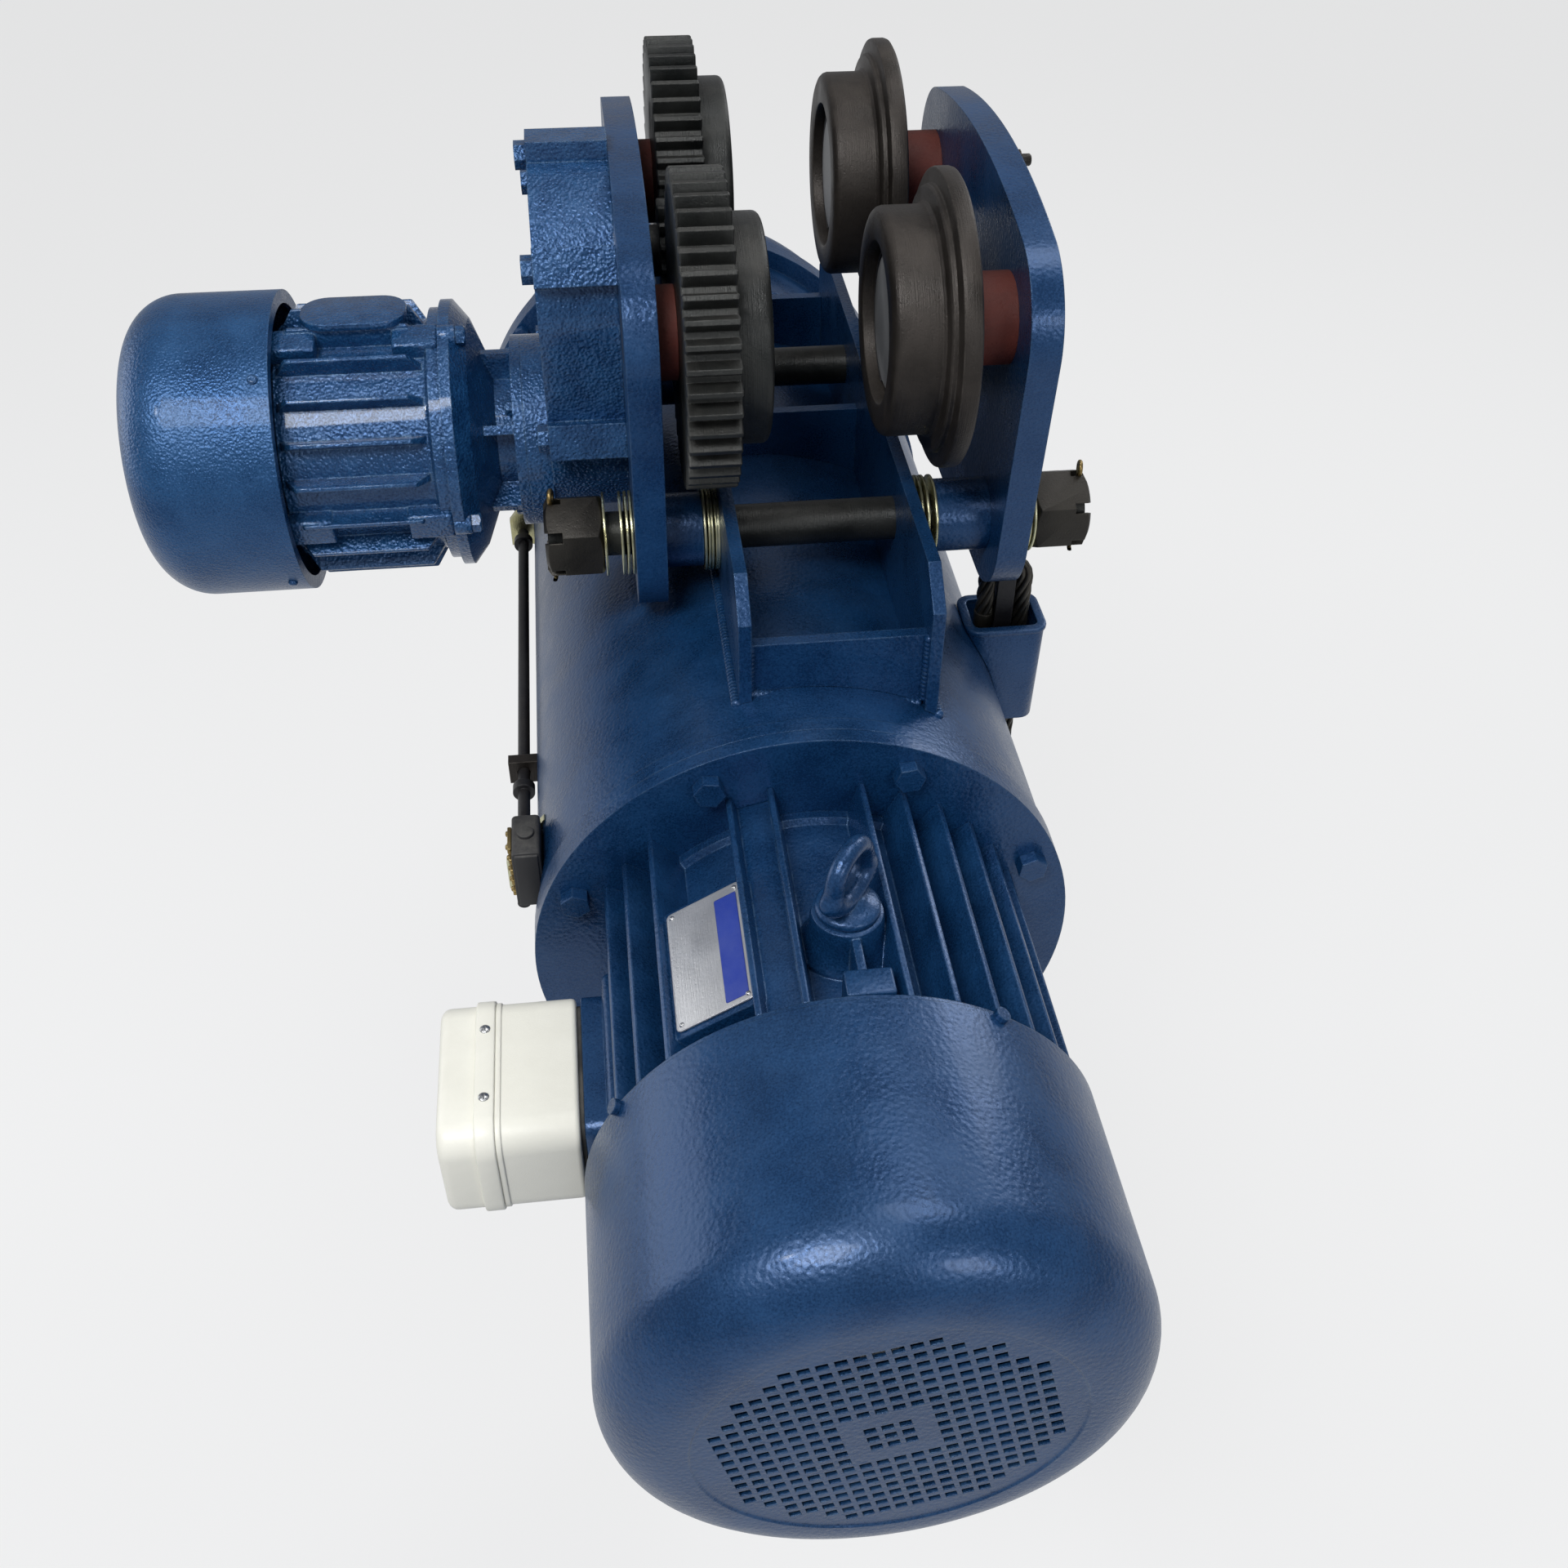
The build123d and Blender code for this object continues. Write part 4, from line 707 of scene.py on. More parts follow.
def editPick(piece, faceTest=None, edgeTest=None):
    # edit mode with only the wanted faces or edges selected
    makeActive(piece)
    bpy.ops.object.mode_set(mode="EDIT")
    bpy.ops.mesh.select_mode(type="FACE" if faceTest else "EDGE")
    bpy.ops.mesh.select_all(action="DESELECT")
    mesh = bmesh.from_edit_mesh(piece.data)
    if faceTest:
        for face in mesh.faces:
            face.select_set(bool(faceTest(face.calc_center_median(), face.normal)))
    else:
        for edge in mesh.edges:
            edge.select_set(bool(edgeTest(edge.verts[0].co, edge.verts[1].co)))
    mesh.select_flush_mode()
    bmesh.update_edit_mesh(piece.data)


def bevelEdges(piece, edgeTest, width, segments=3):
    editPick(piece, edgeTest=edgeTest)
    bpy.ops.mesh.bevel(offset=width, segments=segments, profile=0.5)
    bpy.ops.object.mode_set(mode="OBJECT")


def bevelSharp(piece, width, segments=2, angle=40):
    modifier = piece.modifiers.new("softEdges", "BEVEL")
    modifier.width = width
    modifier.segments = segments
    modifier.limit_method = "ANGLE"
    modifier.angle_limit = math.radians(angle)
    applyModifiers(piece)


def cutAway(piece, cutter):
    modifier = piece.modifiers.new("cut", "BOOLEAN")
    modifier.operation = "DIFFERENCE"
    modifier.solver = "EXACT"
    modifier.object = cutter
    applyModifiers(piece)
    bpy.data.objects.remove(cutter)


def joinPieces(pieces):
    makeActive(*pieces)
    if len(pieces) > 1:
        bpy.ops.object.join()
    return bpy.context.object


def copyOf(piece, place=(0, 0, 0), turn=None):
    made = piece.copy()
    made.data = piece.data.copy()
    bpy.context.collection.objects.link(made)
    made.matrix_world = Matrix.Translation(place) @ (turn or Matrix.Identity(4)) @ piece.matrix_world
    applyPlace(made)
    return made


def turned(piece, turn):
    piece.matrix_world = turn @ piece.matrix_world
    applyPlace(piece)
    return piece


def turnAbout(centre, axis, degrees):
    there = Matrix.Translation(centre)
    return there @ Matrix.Rotation(math.radians(degrees), 4, axis) @ there.inverted()


def facesOutward(piece):
    makeActive(piece)
    bpy.ops.object.mode_set(mode="EDIT")
    bpy.ops.mesh.select_all(action="SELECT")
    bpy.ops.mesh.remove_doubles(threshold=0.00001)
    bpy.ops.mesh.normals_make_consistent(inside=False)
    bpy.ops.object.mode_set(mode="OBJECT")


def finishPiece(piece, name, body, material, smooth=35, replacing=()):
    applyPlace(piece)
    bpy.ops.object.shade_smooth_by_angle(angle=math.radians(smooth))
    piece.name = name
    piece.data.name = name
    piece.data.materials.clear()
    piece.data.materials.append(material)
    if body:
        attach(piece, body)
    if replacing:
        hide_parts(*replacing)
    return piece


# ---------- outlines spun round an axis
spinWays = {"X": ((1, 0, 0), (0, 0, 1)), "Y": ((0, 1, 0), (0, 0, 1)), "Z": ((0, 0, 1), (1, 0, 0))}


def spinOutline(axis, centre, outline, sides=96):
    # half an outline of (along, radius) points is drawn by extruding one corner, then spun
    along, out = (Vector(way) for way in spinWays[axis])
    places = [Vector(centre) + along * a + out * r for a, r in outline]
    deselectAll()
    bpy.ops.mesh.primitive_plane_add(size=0.01, location=places[0])
    piece = bpy.context.object
    applyPlace(piece)
    bpy.ops.object.mode_set(mode="EDIT")
    bpy.ops.mesh.select_mode(type="VERT")
    bpy.ops.mesh.select_all(action="SELECT")
    bpy.ops.mesh.merge(type="CENTER")
    for here, there in zip(places, places[1:]):
        bpy.ops.mesh.extrude_region_move(TRANSFORM_OT_translate={"value": there - here, "orient_type": "GLOBAL"})
    bpy.ops.mesh.select_all(action="SELECT")
    bpy.ops.mesh.spin(steps=sides, angle=2 * math.pi, center=centre, axis=along)
    bpy.ops.mesh.select_all(action="SELECT")
    bpy.ops.mesh.remove_doubles(threshold=0.00002)
    bpy.ops.mesh.normals_make_consistent(inside=False)
    bpy.ops.object.mode_set(mode="OBJECT")
    return piece


def taperTop(piece, top, scale):
    # the faces at the top are drawn in, as on a cast rib
    editPick(piece, faceTest=lambda c, n: n.z > 0.9 and c.z > top - 1e-5)
    bpy.ops.transform.resize(value=(*scale, 1))
    bpy.ops.object.mode_set(mode="OBJECT")


# ---------- perforated fan cover of the hoist motor
fanCover = {
    "centre": (-0.028, -0.320),
    "radius": 0.168,
    "mouth": -0.526,
    "end": -0.708,
    "rounding": 0.046,
    "wall": 0.0025,
    "endRing": 0.006,
    "slotPitch": 0.0104,
    "slot": (0.0072, 0.0061),
    "slotTurn": -13.5,
    "grilleRadius": 0.1085,
    "seatInner": 0.1622,
}


def makeGrilleCutter(sizes):
    pitch = sizes["slotPitch"]
    reach = int(sizes["grilleRadius"] / pitch) + 1
    x, z = sizes["centre"]
    cutter = addBlock((-reach * pitch, 0, -reach * pitch), (sizes["slot"][0], 0.02, sizes["slot"][1]))
    for step in ((pitch, 0, 0), (0, 0, pitch)):
        row = cutter.modifiers.new("row", "ARRAY")
        row.count = 2 * reach + 1
        row.use_relative_offset = False
        row.use_constant_offset = True
        row.constant_offset_displace = step
    applyModifiers(cutter)

    def isSolid(place, normal):
        i, j = round(place.x / pitch), round(place.z / pitch)
        inBlank = max(abs(i), abs(j)) == 2
        return inBlank or math.hypot(i, j) * pitch > sizes["grilleRadius"] - pitch / 2

    editPick(cutter, faceTest=isSolid)
    bpy.ops.mesh.delete(type="FACE")
    bpy.ops.object.mode_set(mode="OBJECT")
    cutter.rotation_euler = (0, math.radians(sizes["slotTurn"]), 0)
    cutter.location = (x, sizes["end"], z)
    applyPlace(cutter)
    return cutter


def makeFanCover(sizes):
    x, z = sizes["centre"]
    mouth, end = sizes["mouth"], sizes["end"]
    cover = addRound("Y", (x, (mouth + end) / 2, z), sizes["radius"], mouth - end, 128)
    editPick(cover, faceTest=lambda c, n: n.y > 0.9)
    bpy.ops.mesh.delete(type="ONLY_FACE")
    bpy.ops.object.mode_set(mode="OBJECT")
    bevelEdges(cover, lambda a, b: a.y < end + 1e-5 and b.y < end + 1e-5, sizes["rounding"], 14)
    # a shallow step round the flat end
    editPick(cover, faceTest=lambda c, n: n.y < -0.999)
    bpy.ops.mesh.inset(thickness=sizes["endRing"])
    bpy.ops.mesh.inset(thickness=0.0012)
    bpy.ops.transform.translate(value=(0, 0.0011, 0))
    bpy.ops.object.mode_set(mode="OBJECT")
    wall = cover.modifiers.new("wall", "SOLIDIFY")
    wall.thickness = sizes["wall"]
    wall.offset = -1
    applyModifiers(cover)
    cutAway(cover, makeGrilleCutter(sizes))
    seat = addRound("Y", (x, mouth - 0.002, z), sizes["radius"] - 0.001, 0.004, 96)
    hole = addRound("Y", (x, mouth - 0.002, z), sizes["seatInner"], 0.02, 96)
    cutAway(seat, hole)
    return joinPieces([cover, seat])


finishPiece(makeFanCover(fanCover), "fanCoverShell", "hoist_body", blueEnamel, 30, ("fan_cover",))
print("fan cover shaped")

# ---------- dust caps pressed in the wheels
dustCap = {
    "radius": 0.0445,
    "thickness": 0.0016,
    "dome": 0.0024,
    "clip": (0.0515, 0.0455, 0.0012),
    "wheelY": 0.1305,
    "wheelZ": 0.075,
    "face": 0.048,
}


def makeDustCap(side, y):
    face = side * dustCap["face"]
    z = dustCap["wheelZ"]
    depth = dustCap["thickness"]
    cap = addRound("X", (face - side * depth / 2, y, z), dustCap["radius"], depth, 64)
    editPick(cap, faceTest=lambda c, n: n.x * side < -0.9)
    for step in (0.0018, 0.004, 0.008, 0.012):
        bpy.ops.mesh.inset(thickness=step)
        bpy.ops.transform.translate(value=(-side * dustCap["dome"] / 4, 0, 0))
    bpy.ops.object.mode_set(mode="OBJECT")
    return cap


def makeCapClip(side, y):
    outer, inner, wire = dustCap["clip"]
    face = side * (dustCap["face"] - 0.0008)
    deselectAll()
    bpy.ops.mesh.primitive_torus_add(
        location=(face, y, dustCap["wheelZ"]), rotation=axisTurns["X"], major_radius=(outer + inner) / 2 - 0.0008,
        minor_radius=wire, major_segments=72, minor_segments=10
    )
    clip = bpy.context.object
    applyPlace(clip)
    gap = addBlock((face, y, dustCap["wheelZ"] - 0.05), (0.02, 0.016, 0.02))
    cutAway(clip, gap)
    return clip


for side, kind, slotName in ((-1, "geared", "dark_steel"), (1, "idler", "dark_steel")):
    for y, end in ((-dustCap["wheelY"], "front"), (dustCap["wheelY"], "rear")):
        body = kind + "_" + end
        finishPiece(makeDustCap(side, y), f"{kind}{end.title()}DustCap", body, capGrey, 40)
        finishPiece(makeCapClip(side, y), f"{kind}{end.title()}CapClip", body, blackSteel, 60)
print("dust caps shaped")

# ---------- thin washers on the suspension shafts
washer = {"radius": 0.0305, "bore": 0.01615, "thickness": 0.0019, "shaftY": 0.122, "shaftZ": -0.085}
washerPlaces = (
    # from the nut on the drive side to the nut on the idler side, x of each washer's middle
    -0.1527, -0.1407, -0.1370, -0.1333,
    -0.0807, -0.0782, -0.0757, -0.0732, -0.0711,
    0.0712, 0.0750, 0.0787, 0.0826, 0.0888,
    0.1533, 0.1563, 0.1594, 0.1627,
)


def makeWashers():
    first = addRound("X", (0, 0, 0), washer["radius"], washer["thickness"], 64)
    cutAway(first, addRound("X", (0, 0, 0), washer["bore"], 0.02, 48))
    bevelSharp(first, 0.0005, 2, 50)
    wobble = random.Random(4)
    made = []
    for y in (-washer["shaftY"], washer["shaftY"]):
        for x in washerPlaces:
            lean = turnAbout((x, y, washer["shaftZ"]), (0, wobble.uniform(-1, 1), wobble.uniform(0.2, 1)), wobble.uniform(0, 1.1))
            made.append(copyOf(first, (0, 0, 0), lean @ Matrix.Translation((x, y, washer["shaftZ"]))))
    bpy.data.objects.remove(first)
    return joinPieces(made)


finishPiece(makeWashers(), "shaftWashers", "hoist_body", yellowZinc, 30, ("spacer_washers",))
print("washers shaped")

# ---------- wire rope: six strands laid round each other
rope = {"radius": 0.0075, "strand": 0.0026, "layLength": 0.082, "sides": 9, "stepsPerLay": 18}


def makeStrands(length, sides=rope["sides"], stepsPerLay=rope["stepsPerLay"]):
    # the strands' section is swept up in a screw
    ring = rope["radius"] - rope["strand"]
    strands = []
    for number in range(6):
        turn = number * math.pi / 3
        deselectAll()
        bpy.ops.mesh.primitive_circle_add(
            vertices=sides, radius=rope["strand"], location=(ring * math.cos(turn), ring * math.sin(turn), 0)
        )
        strands.append(bpy.context.object)
    piece = joinPieces(strands)
    applyPlace(piece)
    screw = piece.modifiers.new("lay", "SCREW")
    screw.axis = "Z"
    screw.angle = 2 * math.pi * length / rope["layLength"]
    screw.screw_offset = length
    screw.steps = max(4, int(stepsPerLay * length / rope["layLength"]))
    screw.render_steps = screw.steps
    screw.use_merge_vertices = False
    applyModifiers(piece)
    makeActive(piece)
    bpy.ops.object.mode_set(mode="EDIT")
    bpy.ops.mesh.select_all(action="SELECT")
    bpy.ops.mesh.normals_make_consistent(inside=False)
    bpy.ops.object.mode_set(mode="OBJECT")
    return piece


fall = {"y": -0.088, "low": -0.810, "live": (-0.18565, -0.3203), "dead": (0.1795, -0.290)}
for name in ("live", "dead"):
    x, top = fall[name]
    piece = makeStrands(top - fall["low"])
    piece.location = (x, fall["y"], fall["low"])
    finishPiece(piece, name + "RopeFall", None, greasedRope, 60, ("rope_fall_" + name,))
    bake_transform(piece)


sheaveRope = {"centre": (-0.003075, -0.088, -0.810), "radius": 0.182575}


def makeRopeRound():
    piece = makeStrands(math.pi * sheaveRope["radius"])
    deselectAll()
    bpy.ops.curve.primitive_bezier_circle_add(radius=sheaveRope["radius"], location=(0, 0, 0))
    path = bpy.context.object
    path.data.resolution_u = 32
    path.data.dimensions = "3D"
    path.data.twist_mode = "Z_UP"
    bend = piece.modifiers.new("bend", "CURVE")
    bend.object = path
    bend.deform_axis = "POS_Z"
    applyModifiers(piece)
    bpy.data.objects.remove(path)
    return piece


piece = makeRopeRound()
ways = Matrix(((0, 1, 0, 0), (0, 0, 1, 0), (1, 0, 0, 0), (0, 0, 0, 1)))  # local X runs up, Y to the right
piece.matrix_world = Matrix.Translation(sheaveRope["centre"]) @ ways
finishPiece(piece, "ropeRoundSheave", "hook_block", greasedRope, 60, ("rope_under_sheave",))
print("rope falls shaped")

# ---------- wheels of the trolley
wheel = {
    "y": 0.1305,
    "z": 0.075,
    "idlerOutline": (
        (0.0910, 0.0210), (0.0910, 0.0950), (0.0897, 0.0972), (0.0875, 0.0980), (0.0800, 0.0980), (0.0782, 0.0974),
        (0.0774, 0.0958), (0.0772, 0.0892), (0.0764, 0.0877), (0.0738, 0.0872), (0.0726, 0.0858), (0.0723, 0.0800),
        (0.0716, 0.0771), (0.0695, 0.0754), (0.0660, 0.0750), (0.0440, 0.0750), (0.0415, 0.0742), (0.0396, 0.0724),
        (0.0385, 0.0700), (0.0380, 0.0670), (0.0380, 0.0556), (0.0390, 0.0532), (0.0415, 0.0520), (0.0480, 0.0520),
        (0.0480, 0.0210), (0.0910, 0.0210),
    ),
    "treadRadius": 0.075,
    "treadEnd": -0.038,
    "treadRound": 0.005,
    "toothRound": 0.0009,
}


def makeGearedWheel(node):
    # the wheel keeps its own teeth; the rim of its tread and the ends of its teeth are rounded
    piece = copyOf(nodes[node])
    makeActive(piece)
    bpy.ops.object.mode_set(mode="EDIT")
    bpy.ops.mesh.select_all(action="SELECT")
    bpy.ops.mesh.remove_doubles(threshold=0.00001)
    bpy.ops.mesh.dissolve_limited(angle_limit=math.radians(1.0))
    bpy.ops.object.mode_set(mode="OBJECT")
    y = -wheel["y"] if node.endswith("front") else wheel["y"]

    def reach(place):
        return math.hypot(place.y - y, place.z - wheel["z"])

    def isTreadRim(a, b):
        atEnd = max(abs(a.x - wheel["treadEnd"]), abs(b.x - wheel["treadEnd"])) < 1e-4
        return atEnd and abs(reach(a) - wheel["treadRadius"]) < 4e-4 and abs(reach(b) - wheel["treadRadius"]) < 4e-4

    def isToothEnd(a, b):
        return abs(a.x - b.x) < 1e-5 and (abs(a.x + 0.096) < 1e-4 or abs(a.x + 0.061) < 1e-4) and min(reach(a), reach(b)) > 0.085

    bevelEdges(piece, isTreadRim, wheel["treadRound"], 5)
    bevelEdges(piece, isToothEnd, wheel["toothRound"], 1)
    return piece


for end, y in (("front", -wheel["y"]), ("rear", wheel["y"])):
    piece = spinOutline("X", (0, y, wheel["z"]), wheel["idlerOutline"], 112)
    finishPiece(piece, f"idler{end.title()}Wheel", "idler_" + end, wheelSteel, 32, ("idler_wheel_" + end,))
    piece = makeGearedWheel("geared_wheel_" + end)
    finishPiece(piece, f"geared{end.title()}Wheel", "geared_" + end, gearSteel, 32, ("geared_wheel_" + end,))
print("wheels shaped")

# ---------- castle nuts and their split pins
castleNut = {
    "flat": 0.055,
    "length": 0.042,
    "bore": 0.0163,
    "slot": (0.013, 0.0075),
    "ends": ((-0.175, -1), (0.185, 1)),
    "shaftY": 0.122,
    "shaftZ": -0.085,
    "pin": (0.0023, 0.055, 0.0045),
}


def makeCastleNut():
    half = castleNut["length"] / 2
    corner = castleNut["flat"] / 2 / math.cos(math.pi / 6)
    nut = addRound("X", (0, 0, 0), corner, castleNut["length"], 6)
    turned(nut, Matrix.Rotation(math.radians(30), 4, "X"))
    barrel = spinOutline("X", (0, 0, 0), (
        (-half, 0), (-half, corner - 0.0058), (0.0035 - half, corner + 0.0002),
        (half - 0.0045, corner + 0.0002), (half, corner - 0.0075), (half, 0),
    ), 72)
    shape = nut.modifiers.new("barrel", "BOOLEAN")
    shape.operation = "INTERSECT"
    shape.solver = "EXACT"
    shape.object = barrel
    applyModifiers(nut)
    bpy.data.objects.remove(barrel)
    cutAway(nut, addRound("X", (0, 0, 0), castleNut["bore"], 0.1, 48))
    deep, wide = castleNut["slot"]
    for degrees in (0, 60, 120):
        slot = addBlock((half - deep / 2 + 0.001, 0, 0), (deep + 0.002, wide, 0.09))
        cutAway(nut, turned(slot, Matrix.Rotation(math.radians(degrees), 4, "X")))
    bevelSharp(nut, 0.0006, 2, 25)
    return nut


def makeSplitPin():
    wire, length, eye = castleNut["pin"]
    legs = []
    for side in (-1, 1):
        leg = addRound("Z", (side * wire * 0.55, 0, -length / 2), wire * 0.72, length, 10)
        editPick(leg, faceTest=lambda c, n: n.z < -0.9)
        for push in ((side * 0.0015, 0, -0.003), (side * 0.004, 0, -0.003), (side * 0.004, 0, 0.0)):
            bpy.ops.mesh.extrude_region_move(TRANSFORM_OT_translate={"value": push, "orient_type": "GLOBAL"})
        bpy.ops.object.mode_set(mode="OBJECT")
        legs.append(leg)
    deselectAll()
    bpy.ops.mesh.primitive_torus_add(
        location=(0, 0, eye * 0.8), rotation=(math.pi / 2, 0, 0), major_radius=eye, minor_radius=wire * 0.8,
        major_segments=24, minor_segments=10
    )
    legs.append(bpy.context.object)
    applyPlace(legs[-1])
    return joinPieces(legs)


def makeNutsAndPins():
    nut, pin = makeCastleNut(), makeSplitPin()
    nuts, pins = [], []
    for y in (-castleNut["shaftY"], castleNut["shaftY"]):
        for x, side in castleNut["ends"]:
            middle = Vector((x, y, castleNut["shaftZ"]))
            turn = Matrix.Rotation(math.pi if side < 0 else 0, 4, "Z")
            nuts.append(copyOf(nut, middle, turn))
            pins.append(copyOf(pin, middle + Vector((side * 0.0150, 0, 0.0300)), Matrix.Rotation(math.radians(80), 4, "Z")))
    bpy.data.objects.remove(nut)
    bpy.data.objects.remove(pin)
    return joinPieces(nuts), joinPieces(pins)


nutPiece, pinPiece = makeNutsAndPins()
finishPiece(nutPiece, "castleNutSet", "hoist_body", nutSteel, 30, ("castle_nuts",))
finishPiece(pinPiece, "splitPinSet", "hoist_body", brassYellow, 50, ("split_pins",))
print("castle nuts and split pins shaped")

# ---------- junction box
boxShape = {
    "middle": (-0.449, -0.320),
    "size": (0.122, 0.084),
    "corner": 0.019,
    "base": (-0.250, -0.196),
    "lid": (-0.2875, -0.250),
    "band": (-0.0128, 0.0029),
    "boss": (0.062, 0.044, 0.0022),
    "screws": ((-0.421, 1), (-0.477, 1), (-0.421, -1), (-0.477, -1)),
    "screwRadius": 0.0036,
}


def boxBlock(low, high, grow, corner):
    y, z = boxShape["middle"]
    long, tall = boxShape["size"]
    piece = addBlock(((low + high) / 2, y, z), (high - low, long + 2 * grow, tall + 2 * grow))
    bevelEdges(piece, lambda a, b: abs(a.x - b.x) > 1e-4, corner + grow, 8)
    return piece


def makeBoxLid():
    low, high = boxShape["lid"]
    lid = boxBlock(low, high, 0, boxShape["corner"])
    bevelEdges(lid, lambda a, b: max(a.x, b.x) < low + 1e-5, 0.007, 5)
    # a gentle crown, then the flat knock-out boss
    editPick(lid, faceTest=lambda c, n: n.x < -0.99)
    bpy.ops.mesh.inset(thickness=0.006)
    bpy.ops.transform.translate(value=(-0.0004, 0, 0))
    bpy.ops.object.mode_set(mode="OBJECT")
    long, tall, rise = boxShape["boss"]
    y, z = boxShape["middle"]
    boss = addBlock((low - rise / 2 + 0.001, y, z), (rise + 0.002, long, tall))
    bevelEdges(boss, lambda a, b: abs(a.x - b.x) > 1e-4, 0.010, 6)
    bevelEdges(boss, lambda a, b: max(a.x, b.x) < low - rise + 1e-4 + 0.001, 0.0009, 2)
    wide, lift = boxShape["band"]
    band = boxBlock(high + wide, high, lift, boxShape["corner"])
    bevelSharp(band, 0.0011, 3, 50)
    return joinPieces([lid, boss, band])


def makeBoxBase():
    low, high = boxShape["base"]
    base = boxBlock(low, high, 0, boxShape["corner"])
    bevelEdges(base, lambda a, b: min(a.x, b.x) > high - 1e-5, 0.0035, 4)
    lip = boxBlock(low, low + 0.004, 0.0012, boxShape["corner"])
    bevelSharp(lip, 0.0008, 2, 50)
    y, z = boxShape["middle"]
    ring = spinOutline("Z", ((low + high) / 2, y, z - boxShape["size"][1] / 2), (
        (-0.0002, 0.0105), (-0.0028, 0.0112), (-0.0028, 0.0150), (-0.0010, 0.0165), (0.001, 0.0165),
    ), 48)
    return joinPieces([base, lip, ring])


def makeBoxScrews():
    y, z = boxShape["middle"]
    radius = boxShape["screwRadius"]
    edge = boxShape["size"][1] / 2 + boxShape["band"][1]
    made = []
    for place, side in boxShape["screws"]:
        head = spinOutline("Z", (boxShape["lid"][1] - 0.0065, place, z + side * (edge - 0.0003)), (
            (0, 0), (0, radius), (side * 0.0007, radius), (side * 0.0016, radius * 0.72), (side * 0.0021, 0),
        ), 28)
        slot = addBlock((boxShape["lid"][1] - 0.0065, place, z + side * (edge + 0.0019)), (0.0009, radius * 1.7, 0.0016))
        cutAway(head, slot)
        made.append(head)
    return joinPieces(made)


finishPiece(makeBoxLid(), "boxLid", "hoist_body", ivoryPlastic, 40, ("junction_box_cover",))
finishPiece(makeBoxBase(), "boxBase", "hoist_body", ivoryPlastic, 40, ("junction_box",))
finishPiece(makeBoxScrews(), "boxScrews", "hoist_body", chromeSteel, 40)
print("junction box shaped")

# ---------- frame of the hoist motor: barrel, ribs, plate pad, eye bolt boss and pedestal
motorShell = {
    "axis": (-0.028, -0.320),
    "front": -0.328,
    "rear": -0.518,
    "barrel": (0.131, 0.115),
    "ribTop": 0.1617,
    "ribWide": 0.0052,
    "ribTurns": (
        77.0, 66.0, 55.0, 44.0, 33.0, 22.0, 11.0, 0.0, -11.0, -22.0, -33.0, -44.0, -55.0, -66.0, -77.0, -88.0, -99.0,
        -110.0, -121.0, -132.0, -143.0, -152.0, 99.5, 110.0, 133.0, 143.0, 152.5,
    ),
    "padTurn": 121.0,
    "padRadius": 0.152,
    "padSize": (0.106, 0.064),
    "panelTurn": 104.7,
    "eye": (-0.020, -0.449),
    "bossTop": -0.157,
    "pedestal": (-0.193, 0.116, 0.080),
}


def aroundMotor(degrees):
    x, z = motorShell["axis"]
    return turnAbout((x, 0, z), "Y", 90 - degrees)


